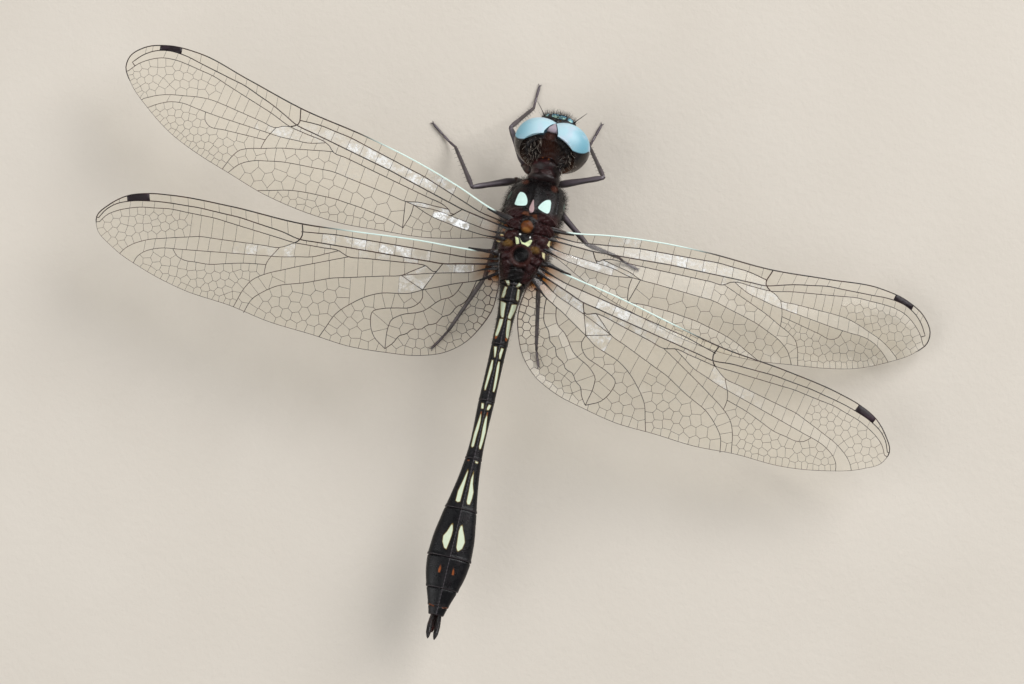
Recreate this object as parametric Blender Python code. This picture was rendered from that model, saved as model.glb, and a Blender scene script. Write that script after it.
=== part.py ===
"""A perched male clubskimmer dragonfly at life size, as a still museum model.

The head points to -Y, the tail to +Y, the animal's left is +X and the floor is z = 0.
Sizes are written in millimetres and turned to Blender's metres by MM.
"""

import math

import bmesh
import bpy
import numpy as np
from mathutils import Matrix, Vector

MM = 0.001
GAP = 0.1                      # clearance left between two plates of shell
ORIGIN = (0.18, -8.03, 0.0)    # moves the middle of the animal's floor plan to the origin

# Head: its own frame has the face at -Y, and is nodded, rolled and turned on the neck.
HEAD_CENTRE = (-0.55, -8.3, 5.9)
HEAD_NOD, HEAD_ROLL, HEAD_TURN = 42.0, 13.0, -3.0
SKULL_RADII = (2.3, 1.55, 1.52)
CREST = ((0.0, 0.7, 1.35), (0.6, 0.7, 0.5))        # occipital triangle behind the eye seam
VERTEX = ((0.0, -0.05, 0.45), (0.42, 0.5, 0.35))   # small boss on top of the frons
NAPE = ((0.0, 2.4, 0.1), (2.2, 1.5, 2.2))          # hollow at the back of the head
NAPE_PLATE = 0.25              # the skull's thickness between that hollow and the eyes
EYE_CENTRE = (1.08, 0.0, 0.0)
EYE_RADII = (1.85, 1.6, 1.98)
EYE_LEAN_IN = 30.0
ANTENNA = ((0.95, -1.6, 1.25), (1.6, -2.25, 1.6))

# Thorax sections: place along Y, half width, top, bottom.
THORAX = (
    (-5.4, 1.3, 6.3, 3.7), (-4.95, 1.8, 6.9, 3.15), (-4.2, 2.1, 7.45, 2.75),
    (-3.3, 2.16, 7.9, 2.6), (-2.3, 2.16, 8.22, 2.65), (-1.4, 2.12, 8.1, 2.8),
    (0.0, 2.0, 8.05, 3.2), (1.0, 1.95, 7.95, 3.65), (1.8, 1.7, 7.75, 4.15),
    (2.35, 1.3, 7.4, 4.7), (2.65, 1.0, 7.1, 5.1),
)
THORAX_SQUARE = 3.3            # 2 is an ellipse, more is boxier
THORAX_OFFSET = -0.2           # the animal leans a little to its right on its legs
# Humps on the back: two scutella on the midline, and one at each wing root.
HUMPS = (
    ((0.0, -1.3, 8.0), (0.5, 0.5, 0.42)),
    ((0.0, 0.85, 7.85), (0.8, 0.8, 0.45)),
    ((1.25, -0.75, 7.95), (0.55, 0.6, 0.35)),
    ((-1.25, -0.75, 7.95), (0.55, 0.6, 0.35)),
    ((0.9, 1.3, 7.8), (0.4, 0.55, 0.3)),
    ((-0.9, 1.3, 7.8), (0.4, 0.55, 0.3)),
)
PROTHORAX = (
    (-6.85, 0.6, 5.9, 4.7), (-6.7, 0.95, 6.25, 4.35), (-6.35, 1.02, 6.3, 4.0),
    (-6.0, 0.95, 6.1, 3.85), (-5.7, 1.12, 6.25, 3.75), (-5.55, 1.12, 6.2, 3.8),
)
PROTHORAX_OFFSET = -0.5        # the neck bends a little to the animal's right
NECK = ((-0.52, -6.9, 5.5), (0.55, 0.6, 0.5))      # short neck, up against the head's back

# Abdomen: joints between its ten segments, then half width and half height along Y.
ABDOMEN_JOINTS = (2.72, 3.0, 4.25, 7.55, 11.85, 16.3, 20.15, 23.85, 26.2, 27.5, 28.15)
ABDOMEN_GIRTH = (
    (2.7, 0.98, 1.05), (3.5, 0.82, 1.0), (4.9, 0.68, 0.88), (7.8, 0.6, 0.66),
    (11.8, 0.6, 0.6), (15.9, 0.6, 0.58), (17.0, 0.7, 0.6), (19.0, 1.0, 0.68),
    (21.0, 1.37, 0.8), (22.2, 1.57, 0.86), (23.2, 1.63, 0.88), (24.2, 1.62, 0.86),
    (25.0, 1.52, 0.82), (26.0, 1.24, 0.74), (27.0, 0.9, 0.56), (28.1, 0.56, 0.42),
)
# Its middle line, which bends a little: place along Y, then X and Z.
ABDOMEN_AXIS = (
    (2.7, 0.0, 6.1), (7.5, -0.05, 6.15), (11.8, -0.07, 5.85), (15.5, -0.1, 5.64),
    (20.1, -0.04, 5.4), (23.8, -0.01, 5.2), (26.2, 0.0, 5.1), (28.1, 0.0, 5.0),
)
TAIL_TIP = 29.95

# Wings: a hinge on the thorax, then sweep forward and droop in degrees.
WING_SCUFF = 0.25              # half the thickness of a wing's plate
WING_INCIDENCE = 2.0           # the trailing edge hangs this far below the leading edge
WING_POSES = {
    "wing_fore_left": (1, (1.7, -1.3, 7.45), 10.5, 4.5),
    "wing_fore_right": (-1, (-2.0, -1.2, 7.3), 0.5, 11.5),
    "wing_hind_left": (1, (2.25, 1.5, 7.45), -6.0, 4.0),
    "wing_hind_right": (-1, (-2.3, 1.5, 7.5), -12.3, 7.0),
}
FOREWING = (
    (-0.6, 0.45), (1.2, 0.62), (4.4, 1.25), (8.1, 1.75), (12.0, 2.0), (17.4, 2.05),
    (22.0, 2.52), (26.2, 2.9), (28.6, 2.5), (30.1, 1.7), (30.85, 0.6), (30.8, -0.2),
    (30.0, -1.15), (28.0, -2.45), (25.6, -3.55), (23.0, -4.2), (20.4, -4.6), (17.5, -5.02),
    (14.2, -5.08), (11.0, -4.75), (8.4, -4.15), (5.0, -3.3), (2.6, -2.35), (0.8, -1.55),
    (-0.6, -1.1),
)
HINDWING = (
    (-0.7, 0.4), (1.1, 0.42), (5.6, 0.68), (10.3, 0.76), (14.1, 0.86), (19.5, 1.52),
    (24.0, 1.82), (25.7, 1.75), (27.3, 1.38), (28.5, 0.6), (29.35, -0.45), (29.2, -1.35),
    (28.0, -2.5), (25.4, -3.95), (22.2, -5.15), (18.6, -5.9), (15.7, -6.72), (12.4, -7.3),
    (9.5, -7.85), (6.8, -7.98), (4.3, -7.92), (2.4, -7.45), (0.9, -6.45), (-0.05, -5.2),
    (-0.7, -3.9), (-0.92, -2.6), (-0.96, -1.4), (-0.8, -0.6),
)

# Legs: side, root on the body, hip, knee, ankle and the tip of the foot.
LEGS = {
    "fore_left": ((0.4, -6.45, 4.1), (1.0, -6.9, 3.1), (2.75, -9.28, 4.4),
                  (1.2, -12.0, 0.75), (1.12, -13.9, 0.2)),
    "fore_right": ((-0.95, -6.35, 4.1), (-1.55, -6.7, 3.1), (-4.99, -7.2, 4.3),
                   (-3.62, -10.1, 0.75), (-4.2, -12.1, 0.2)),
    "mid_left": ((0.7, -5.2, 3.3), (1.25, -5.8, 2.6), (4.55, -4.07, 4.5),
                 (6.37, -7.6, 0.75), (8.4, -9.1, 0.2)),
    "mid_right": ((-0.7, -4.7, 3.3), (-1.3, -5.0, 2.55), (-4.91, -1.85, 4.4),
                  (-7.7, -2.2, 0.75), (-9.3, -1.8, 0.2)),
    "hind_left": ((0.75, -3.1, 3.0), (1.45, -3.2, 2.3), (2.1, 2.45, 4.3),
                  (3.72, 6.4, 0.75), (4.6, 7.85, 0.2)),
    "hind_right": ((-0.75, -3.1, 3.0), (-1.45, -3.2, 2.3), (-2.0, 2.1, 4.3),
                   (-3.05, 5.9, 0.75), (-3.6, 7.3, 0.2)),
}
FEMUR_RADIUS, TIBIA_RADIUS, TARSUS_RADIUS = 0.32, 0.25, 0.25
COXA_RADII = (0.42, 0.42, 0.62)

RING_SIDES = 16
OUTLINE_STEPS = 3              # straight runs between two points of a wing's outline


def clear_scene():
    for obj in list(bpy.data.objects):
        bpy.data.objects.remove(obj)


def collection(name):
    made = bpy.data.collections.new(name)
    bpy.context.scene.collection.children.link(made)
    return made


def linear(hex_colour):
    """An sRGB hex colour as the linear RGBA that a shader takes."""
    channels = [int(hex_colour[i:i + 2], 16) / 255 for i in (1, 3, 5)]
    return [c / 12.92 if c <= 0.04045 else ((c + 0.055) / 1.055) ** 2.4 for c in channels] + [1]


def material(name, hex_colour, roughness, metallic=0.0):
    made = bpy.data.materials.new(name)
    made.use_nodes = True
    shader = made.node_tree.nodes["Principled BSDF"]
    shader.inputs["Base Color"].default_value = linear(hex_colour)
    shader.inputs["Roughness"].default_value = roughness
    shader.inputs["Metallic"].default_value = metallic
    made.diffuse_color = linear(hex_colour)
    return made


def empty(name, parent=None, matrix=Matrix()):
    made = bpy.data.objects.new(name, None)
    PARTS.objects.link(made)
    made.parent = parent
    made.matrix_local = matrix
    return made


def add(name, mesh, finish, parent, matrix=Matrix()):
    """A named part with its own finish, shaded smooth but for its sharp edges."""
    made = bpy.data.objects.new(name, mesh)
    PARTS.objects.link(made)
    mesh.materials.append(finish)
    mesh.shade_smooth()
    mesh.set_sharp_from_angle(angle=math.radians(40))
    made.parent = parent
    made.matrix_local = matrix
    bpy.context.view_layer.update()
    return made


def mesh_of(bm, name):
    bmesh.ops.recalc_face_normals(bm, faces=bm.faces)
    mesh = bpy.data.meshes.new(name)
    bm.to_mesh(mesh)
    bm.free()
    return mesh


def signed_power(value, power):
    return math.copysign(abs(value) ** power, value)


def section(y, half_width, top, bottom, square=2.0, x=0.0):
    """The ring of points of one cross section, a superellipse in the plane of y."""
    middle, half_height = (top + bottom) / 2, (top - bottom) / 2
    ring = []
    for i in range(RING_SIDES):
        angle = 2 * math.pi * (i + 0.5) / RING_SIDES
        across = half_width * signed_power(math.cos(angle), 2 / square)
        up = half_height * signed_power(math.sin(angle), 2 / square)
        ring.append(Vector((x + across, y, middle + up)) * MM)
    return ring


def loft(name, rings):
    """A closed skin through a row of rings, capped at both ends."""
    bm = bmesh.new()
    rows = [[bm.verts.new(point) for point in ring] for ring in rings]
    for row, following in zip(rows, rows[1:]):
        for i, point in enumerate(row):
            bm.faces.new((point, row[i - 1], following[i - 1], following[i]))
    bm.faces.new(rows[0])
    bm.faces.new(rows[-1])
    return mesh_of(bm, name)


def ellipsoid(name, radii, sides=16, rings=10, square=2.0):
    """A rounded solid about its own centre; square above 2 fills out its corners."""
    bm = bmesh.new()
    bmesh.ops.create_uvsphere(bm, u_segments=sides, v_segments=rings, radius=1.0)
    for vert in bm.verts:
        scale = sum(abs(c) ** square for c in vert.co) ** (-1 / square)
        vert.co = Vector([c * scale * radius * MM for c, radius in zip(vert.co, radii)])
    return mesh_of(bm, name)


def cut_flat(mesh, point, normal):
    """Keeps what lies on the normal's side of a plane, and closes the cut."""
    bm = bmesh.new()
    bm.from_mesh(mesh)
    geometry = bm.verts[:] + bm.edges[:] + bm.faces[:]
    cut = bmesh.ops.bisect_plane(bm, geom=geometry, plane_co=point, plane_no=normal,
                                 clear_inner=True)["geom_cut"]
    edges = [item for item in cut if isinstance(item, bmesh.types.BMEdge)]
    bmesh.ops.edgeloop_fill(bm, edges=edges)
    bmesh.ops.recalc_face_normals(bm, faces=bm.faces)
    bm.to_mesh(mesh)
    bm.free()


def hide(obj, parent):
    """Keeps a helper out of the model and of any render."""
    CUTTERS.objects.link(obj)
    obj.parent = parent
    obj.hide_render = True
    obj.display_type = "WIRE"
    return obj


def carve(part, *neighbours):
    """Cuts away what a neighbour fills, with the gap around it."""
    for other in neighbours:
        cutter = hide(bpy.data.objects.new(f"clear_{other.name}", other.data), other.parent)
        cutter.matrix_local = other.matrix_local
        swell = cutter.modifiers.new("gap", "DISPLACE")
        swell.mid_level = 0.0
        swell.strength = GAP * MM
        join(part, cutter, "DIFFERENCE")


def helper(name, centre, radii, parent):
    """A hidden ellipsoid to join to a part or cut from it."""
    made = hide(bpy.data.objects.new(name, ellipsoid(name, radii, 12, 8)), parent)
    made.location = Vector(centre) * MM
    return made


def join(part, other, operation):
    boolean = part.modifiers.new(other.name, "BOOLEAN")
    boolean.solver = "MANIFOLD"    # the exact solver loses some of these small plates whole
    boolean.operation = operation
    boolean.object = other
    bpy.context.view_layer.update()


def settle(part):
    """Makes a part's modifiers a fixed mesh, so that other parts can be cut to it."""
    graph = bpy.context.evaluated_depsgraph_get()
    mesh = bpy.data.meshes.new_from_object(part.evaluated_get(graph))
    part.modifiers.clear()
    part.data = mesh


def mesh_from_curve(curve, name):
    """The curve's solid as a mesh of its own, with its caps welded."""
    guide = bpy.data.objects.new(name + "_guide", curve)
    CUTTERS.objects.link(guide)
    graph = bpy.context.evaluated_depsgraph_get()
    mesh = bpy.data.meshes.new_from_object(guide.evaluated_get(graph))
    bpy.data.objects.remove(guide)
    mesh.name = name
    mesh.materials.clear()
    bm = bmesh.new()
    bm.from_mesh(mesh)
    bmesh.ops.remove_doubles(bm, verts=bm.verts, dist=0.001 * MM)
    bmesh.ops.recalc_face_normals(bm, faces=bm.faces)
    bm.to_mesh(mesh)
    bm.free()
    return mesh


def limb(name, points, radii):
    """A tapered tube: points along it, and its radius at each of them."""
    curve = bpy.data.curves.new(name, "CURVE")
    curve.dimensions = "3D"
    curve.bevel_depth = MM
    curve.bevel_resolution = 2
    curve.use_fill_caps = True
    spline = curve.splines.new("POLY")
    spline.points.add(len(points) - 1)
    for point, place, radius in zip(spline.points, points, radii):
        point.co = (*(Vector(place) * MM), 1)
        point.radius = radius
    return mesh_from_curve(curve, name)


def shank(name, start, end, radius, taper=0.8):
    """One length of a leg: swollen by its upper end, slimmer below, rounded at both ends."""
    start, end = Vector(start), Vector(end)
    places = (0.0, 0.05, 0.2, 0.6, 0.95, 1.0)
    radii = [radius * k for k in (0.6, 0.95, 1.0, (1 + taper) / 2, taper, 0.6 * taper)]
    return limb(name, [start.lerp(end, t) for t in places], radii)


def build_head(origin):
    """Skull, face plates, eyes and feelers, in the head's own nodding frame."""
    turn = (Matrix.Rotation(math.radians(HEAD_TURN), 4, "Z")
            @ Matrix.Rotation(math.radians(HEAD_ROLL), 4, "Y")
            @ Matrix.Rotation(math.radians(HEAD_NOD), 4, "X"))
    frame = empty("head_frame", origin, Matrix.Translation(Vector(HEAD_CENTRE) * MM) @ turn)
    eyes = [build_eye(frame, side) for side in (1, -1)]
    plates = build_face(frame, eyes)
    skull = add("head", ellipsoid("head", SKULL_RADII, 16, 10, 2.6), SHELL_BROWN, frame)
    join(skull, helper("crest", *CREST, frame), "UNION")
    join(skull, helper("nape", *NAPE, frame), "DIFFERENCE")
    carve(skull, *eyes, *plates)
    settle(skull)
    for side, word in ((1, "left"), (-1, "right")):
        root, tip = [Vector((side * x, y, z)) for x, y, z in ANTENNA]
        feeler = limb("antenna_" + word, (root, root.lerp(tip, 0.5), tip), (0.26, 0.25, 0.25))
        carve(add("antenna_" + word, feeler, SHELL_BLACK, frame), plates[0], *eyes)
    return [skull, *eyes, plates[-1]]


def build_eye(frame, side):
    """One compound eye: it meets its fellow on the midline and is hollowed behind."""
    mesh = ellipsoid("eye", EYE_RADII, 20, 12)
    lean = Matrix.Rotation(math.radians(-side * EYE_LEAN_IN), 4, "Y")
    centre = Vector((side * EYE_CENTRE[0], EYE_CENTRE[1], EYE_CENTRE[2])) * MM
    mesh.transform(Matrix.Translation(centre) @ lean)
    cut_flat(mesh, (side * GAP / 2 * MM, 0, 0), (side, 0, 0))
    eye = add("eye_left" if side > 0 else "eye_right", mesh, EYE_BLUE, frame)
    centre, radii = NAPE
    hollow = [radius + NAPE_PLATE + GAP for radius in radii]
    join(eye, helper(f"hollow_{eye.name}", centre, hollow, frame), "DIFFERENCE")
    settle(eye)
    return eye


def build_face(frame, eyes):
    """The plates below and before the eyes, from the frons down to the labium."""
    rows = (
        ("frons", (0.0, -1.48, 0.9), (1.3, 0.72, 0.62), FRONS_BLUE),
        ("clypeus", (0.0, -1.5, -0.05), (1.2, 0.52, 0.5), SHELL_BROWN),
        ("labrum", (0.0, -1.4, -0.85), (1.1, 0.48, 0.5), SHELL_BLACK),
        ("labium", (0.0, -0.4, -1.6), (1.2, 1.1, 0.45), SHELL_BROWN),
    )
    plates = []
    for name, centre, radii, finish in rows:
        shape = ellipsoid(name, radii, 16, 8, 2.4)
        place = Matrix.Translation(Vector(centre) * MM)
        plate = add(name, shape, finish, frame, place)
        if name == "frons":
            boss, radii = VERTEX
            join(plate, helper("vertex", Vector(centre) + Vector(boss), radii, frame), "UNION")
        carve(plate, *plates[-1:], *eyes)
        plates.append(plate)
    return plates


def build_thorax(origin):
    rings = [section(*row, square=THORAX_SQUARE, x=THORAX_OFFSET) for row in THORAX]
    thorax = add("thorax", loft("thorax", rings), SHELL_BLACK, origin)
    for i, (centre, radii) in enumerate(HUMPS):
        join(thorax, helper(f"hump_{i}", centre, radii, origin), "UNION")
    return thorax


def build_neck(origin, thorax, head_parts):
    rings = [section(*row, square=2.4, x=PROTHORAX_OFFSET) for row in PROTHORAX]
    prothorax = add("prothorax", loft("prothorax", rings), SHELL_BROWN, origin)
    join(prothorax, helper("neck", *NECK, origin), "UNION")
    carve(prothorax, thorax, *head_parts)
    return prothorax


def abdomen_ring(y):
    """The abdomen's cross section at y, rounded and a little flat above and below."""
    places, widths, heights = zip(*ABDOMEN_GIRTH)
    along, across, up = zip(*ABDOMEN_AXIS)
    half_height, axis = np.interp(y, places, heights), np.interp(y, along, up)
    return section(y, np.interp(y, places, widths), axis + half_height, axis - half_height,
                   2.2, np.interp(y, along, across))


def build_abdomen(origin):
    for i, (start, end) in enumerate(zip(ABDOMEN_JOINTS, ABDOMEN_JOINTS[1:]), 1):
        start, end = start + GAP / 2, end - GAP / 2
        steps = max(2, round((end - start) / 1.1))
        rings = [abdomen_ring(y) for y in np.linspace(start, end, steps + 1)]
        name = f"abdomen_{i:02d}"
        add(name, loft(name, rings), SHELL_BLACK, origin)


def build_tail(origin):
    """The two claspers and the short plate below them."""
    root = ABDOMEN_JOINTS[-1] + GAP
    for side, word in ((1, "left"), (-1, "right")):
        points = ((side * 0.36, root, 5.1), (side * 0.38, 28.95, 5.12), (side * 0.32, TAIL_TIP, 5.2))
        mesh = limb("cercus_" + word, points, (0.25, 0.26, 0.24))
        add("cercus_" + word, mesh, SHELL_BLACK, origin)
    points = ((0, root, 4.58), (0, 28.8, 4.54), (0, 29.4, 4.64))
    add("epiproct", limb("epiproct", points, (0.24, 0.25, 0.2)), SHELL_BROWN, origin)


def wing_outline(points, side):
    """A flat plate filling a smooth outline, x out from the hinge and y forward."""
    curve = bpy.data.curves.new("wing", "CURVE")
    curve.dimensions = "2D"
    curve.fill_mode = "BOTH"
    curve.extrude = WING_SCUFF * MM
    curve.resolution_u = OUTLINE_STEPS
    spline = curve.splines.new("BEZIER")
    spline.use_cyclic_u = True
    spline.bezier_points.add(len(points) - 1)
    for point, (x, y) in zip(spline.bezier_points, points):
        point.co = Vector((side * x, -y, 0)) * MM
        point.handle_left_type = point.handle_right_type = "AUTO"
    return mesh_from_curve(curve, "wing")


def build_wings(origin, thorax):
    for name, (side, hinge, sweep, droop) in WING_POSES.items():
        mesh = wing_outline(FOREWING if "fore" in name else HINDWING, side)
        pose = (Matrix.Translation(Vector(hinge) * MM)
                @ Matrix.Rotation(math.radians(-side * sweep), 4, "Z")
                @ Matrix.Rotation(math.radians(side * droop), 4, "Y")
                @ Matrix.Rotation(math.radians(-WING_INCIDENCE), 4, "X"))
        carve(add(name, mesh, WING_CLEAR, origin, pose), thorax)


def build_leg(origin, name, points, carriers):
    """Coxa, femur, tibia and a foot cut flat where it stands on the floor."""
    root, hip, knee, ankle, toe = [Vector(point) for point in points]
    aim = (hip - root).to_track_quat("Z", "Y").to_matrix().to_4x4()
    place = Matrix.Translation((root + hip) / 2 * MM) @ aim
    coxa = add("coxa_" + name, ellipsoid("coxa", COXA_RADII, 12, 8), SHELL_BROWN, origin, place)
    carve(coxa, *carriers)
    femur = add("femur_" + name, shank("femur", hip, knee, FEMUR_RADIUS), LEG_GREY, origin)
    carve(femur, coxa, *carriers)
    tibia = add("tibia_" + name, shank("tibia", knee, ankle, TIBIA_RADIUS, 1.0), LEG_GREY, origin)
    carve(tibia, femur)
    heel = ankle.lerp(toe, 0.35)
    heel.z = toe.z
    foot = limb("tarsus", (ankle, heel, heel.lerp(toe, 0.9), toe),
                [TARSUS_RADIUS * k for k in (1.0, 1.0, 1.0, 0.7)])
    cut_flat(foot, (0, 0, 0), (0, 0, 1))
    carve(add("tarsus_" + name, foot, LEG_GREY, origin), tibia)


def build_legs(origin, thorax, prothorax):
    for name, points in LEGS.items():
        build_leg(origin, name, points, [thorax, prothorax])


clear_scene()
PARTS = collection("dragonfly")
CUTTERS = collection("cutters")
SHELL_BLACK = material("shell black", "#141012", 0.35)
SHELL_BROWN = material("shell brown", "#2C1712", 0.45)
EYE_BLUE = material("eye sky blue", "#A9D5E0", 0.3)
FRONS_BLUE = material("frons metallic blue", "#3C9CC0", 0.25, 0.8)
LEG_GREY = material("leg grey brown", "#4A4248", 0.4)
WING_CLEAR = material("wing membrane", "#B9B2A4", 0.2)

ORIGIN_FRAME = empty("dragonfly_origin", None, Matrix.Translation(Vector(ORIGIN) * MM))
HEAD_PARTS = build_head(ORIGIN_FRAME)
THORAX_BLOCK = build_thorax(ORIGIN_FRAME)
PRONOTUM = build_neck(ORIGIN_FRAME, THORAX_BLOCK, HEAD_PARTS)
build_abdomen(ORIGIN_FRAME)
build_tail(ORIGIN_FRAME)
build_wings(ORIGIN_FRAME, THORAX_BLOCK)
build_legs(ORIGIN_FRAME, THORAX_BLOCK, PRONOTUM)
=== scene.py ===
# %% [markdown]
# # A perched clubskimmer dragonfly
#
# The animal rests with its wings held out and its tail level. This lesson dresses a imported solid
# model of it with everything the eye looks for: glassy veined wings, a hard glossy shell with
# pale marks, sky-blue eyes and thousands of hairs.

import math

import bmesh
import bpy
import mathutils
import numpy as np
from mathutils import Matrix, Vector


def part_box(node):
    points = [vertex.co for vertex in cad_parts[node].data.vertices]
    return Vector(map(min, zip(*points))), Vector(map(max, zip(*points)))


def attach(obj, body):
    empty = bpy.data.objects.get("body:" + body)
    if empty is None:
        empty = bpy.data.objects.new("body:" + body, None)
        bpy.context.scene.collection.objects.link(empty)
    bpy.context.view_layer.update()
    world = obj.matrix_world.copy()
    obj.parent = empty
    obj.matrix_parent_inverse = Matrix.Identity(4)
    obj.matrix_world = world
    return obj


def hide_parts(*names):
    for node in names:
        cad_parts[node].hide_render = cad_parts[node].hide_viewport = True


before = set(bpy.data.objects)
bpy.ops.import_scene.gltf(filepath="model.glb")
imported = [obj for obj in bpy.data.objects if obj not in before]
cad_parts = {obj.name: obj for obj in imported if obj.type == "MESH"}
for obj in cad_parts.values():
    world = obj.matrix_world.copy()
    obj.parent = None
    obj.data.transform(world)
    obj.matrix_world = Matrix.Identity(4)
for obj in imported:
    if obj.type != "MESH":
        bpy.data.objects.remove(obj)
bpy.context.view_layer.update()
print("solids", len(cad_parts))

# %% [markdown]
# ## Shared sizes
#
# All sizes below are in millimetres, in the animal's own frame: head to -Y, tail to +Y, its left
# is +X and the floor is z = 0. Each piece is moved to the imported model's place as it is made.
# One seeded generator makes nearly every chance choice, so each run gives the same animal.

# %% Shared sizes
MM = 0.001
ORIGIN = np.array((0.18, -8.03, 0.0))
RANDOM = np.random.default_rng(7)
DRAWN_TAIL_END = 28.1
tail_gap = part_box("abdomen_10")[1].y / MM - (DRAWN_TAIL_END + ORIGIN[1])
print("the packed tail ends", round(tail_gap, 3), "mm past its drawn end")

# %% [markdown]
# ## Camera
#
# The animal is seen from nearly overhead, head up in the frame, as a naturalist leans over it. A
# short lens close by would swell the wings that stand nearer to it. So this is a long lens from
# 310 mm away, which keeps near and far parts at almost one scale.

# %% Camera
CAMERA_AWAY, CAMERA_LENS, SENSOR = 310, 147, 36
LEAN_ACROSS, LEAN_BACK, CAMERA_TURN = (math.radians(angle) for angle in (3, 10, 12.8))
LOOKED_AT = np.array((-0.81, 7.37, 8.0))


def set_camera():
    """A long lens high over the wings, leaning a little towards the tail."""
    back = Vector((math.tan(LEAN_ACROSS), math.tan(LEAN_BACK), 1)).normalized()
    up = Vector((math.sin(CAMERA_TURN), -math.cos(CAMERA_TURN), 0))
    up = (up - up.dot(back) * back).normalized()
    data = bpy.data.cameras.new("camera")
    data.lens, data.sensor_width, data.clip_start = CAMERA_LENS, SENSOR, 0.01
    made = bpy.data.objects.new("camera", data)
    bpy.context.scene.collection.objects.link(made)
    place = Vector(LOOKED_AT + ORIGIN) * MM + back * CAMERA_AWAY * MM
    turn = Matrix((up.cross(back), up, back)).transposed()
    made.matrix_world = Matrix.Translation(place) @ turn.to_4x4()
    bpy.context.scene.camera = made
    print("camera", round(place.z / MM), "mm above the floor")


set_camera()

# %% [markdown]
# ## Light
#
# Two wide soft lamps and a pale sky keep the picture calm. Small bright lamps would leave hard
# glints all over the wings and the shell. The view transform is the plain one, so that each
# colour below is the colour that shows.

# %% Light
def linear(hex_colour):
    """An sRGB hex colour as linear RGBA."""
    channels = [int(hex_colour[i:i + 2], 16) / 255 for i in (1, 3, 5)]
    return [c / 12.92 if c <= 0.04045 else ((c + 0.055) / 1.055) ** 2.4 for c in channels] + [1]


def lamp(name, place, size, power):
    """A square soft lamp that faces the animal."""
    data = bpy.data.lights.new(name, "AREA")
    data.size, data.energy = size, power
    made = bpy.data.objects.new(name, data)
    bpy.context.scene.collection.objects.link(made)
    made.location = place
    made.rotation_euler = (-Vector(place)).to_track_quat("-Z", "Y").to_euler()


def set_light():
    """One high lamp over the head, a broad weaker one behind it, and a pale sky."""
    lamp("key_lamp", (-0.3, -0.4, 0.44), 0.5, 4.6)
    lamp("fill_lamp", (0.5, 0.3, 0.4), 0.7, 3.2)
    world = bpy.data.worlds.new("studio")
    world.use_nodes = True
    sky = world.node_tree.nodes["Background"]
    sky.inputs["Color"].default_value = linear("#E9EEF2")
    sky.inputs["Strength"].default_value = 0.36
    bpy.context.scene.world = world
    bpy.context.scene.view_settings.view_transform = "Standard"
    print("lamps", len(bpy.data.lights))


set_light()

# %% [markdown]
# ## Finishes from nodes
#
# A finish is a small tree of shader nodes. One function adds a node with its settings and links
# and gives the output that the next node reads, so a whole pattern is one line. The other three
# are patterns for this animal: lumps of noise for mottling, close points for pits and lenses,
# and one colour laid over another. Pattern sizes are real millimetres.

# %% Finishes from nodes
SMOOTH = {"interpolation_type": "SMOOTHSTEP"}


def blank_finish(name):
    """A material with only its Principled shader, and its node tree."""
    made = bpy.data.materials.new(name)
    made.use_nodes = True
    return made, made.node_tree, made.node_tree.nodes["Principled BSDF"]


def feed(tree, made, inputs):
    """Sets a node's inputs, each with a number, a colour or another node's output."""
    for key, value in dict(inputs).items():
        if isinstance(value, bpy.types.NodeSocket):
            tree.links.new(value, made.inputs[key])
        else:
            made.inputs[key].default_value = value


def node(tree, kind, inputs=(), out=0, **settings):
    """Adds a shader node with its settings and links, and gives one of its outputs."""
    made = tree.nodes.new("ShaderNode" + kind)
    for key, value in settings.items():
        setattr(made, key, value)
    feed(tree, made, inputs)
    return made.outputs[out]


def grain(tree, size_mm, detail=3.0, rough=0.55, stretch=(1, 1, 1)):
    """Noise whose lumps are about size_mm across, in object space."""
    place = node(tree, "Mapping", {0: node(tree, "TexCoord", out="Object"), 3: stretch})
    inputs = {"Vector": place, "Scale": 1 / (size_mm * MM), "Detail": detail, "Roughness": rough}
    return node(tree, "TexNoise", inputs, "Fac")


def pits(tree, size_mm):
    """Distance to the nearest of many points about size_mm apart, for pitted shell and facets."""
    inputs = {"Vector": node(tree, "TexCoord", out="Object"), "Scale": 1 / (size_mm * MM)}
    return node(tree, "TexVoronoi", inputs, "Distance")


def paint(tree, under, over, where, low=None, high=1.0, most=1.0):
    """Lays one colour over another as a pattern, or a value stored on the mesh, climbs.

    The paint sets in from low to high; without them the value itself is its share."""
    if isinstance(where, str):
        where = node(tree, "Attribute", out="Fac", attribute_name=where)
    if low is not None:
        where = node(tree, "MapRange", {0: where, 1: low, 2: high, 4: most}, **SMOOTH)
    under, over = [linear(c) if isinstance(c, str) else c for c in (under, over)]
    return node(tree, "Mix", {0: where, 6: under, 7: over}, 2, data_type="RGBA")


# %% [markdown]
# ## Floor
#
# The floor is pale matt card, only something to stand on and to catch soft shadows. A rock could
# be sculpted, but it is no part of the animal. So one flat face does, faintly mottled and
# toothed, and it is marked as stage.

# %% Floor
FLOOR_HALF = 0.6


def make_floor():
    """A square of card under the animal."""
    finish, tree, shader = blank_finish("floor")
    tooth = {"Height": grain(tree, 0.6, 5.0), "Distance": 0.05 * MM}
    feed(tree, shader, {"Base Color": paint(tree, "#C9C0B4", "#D3CBC0", grain(tree, 14.0, 4.0)),
                        "Roughness": 0.85, "Normal": node(tree, "Bump", tooth)})
    mesh = bpy.data.meshes.new("floor")
    corners = [(x * FLOOR_HALF, y * FLOOR_HALF, 0) for x, y in ((-1, -1), (1, -1), (1, 1), (-1, 1))]
    mesh.from_pydata(corners, [], [(0, 1, 2, 3)])
    mesh.materials.append(finish)
    made = bpy.data.objects.new("floor", mesh)
    bpy.context.scene.collection.objects.link(made)
    print("floor", 2 * FLOOR_HALF, "m wide")


make_floor()

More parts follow.
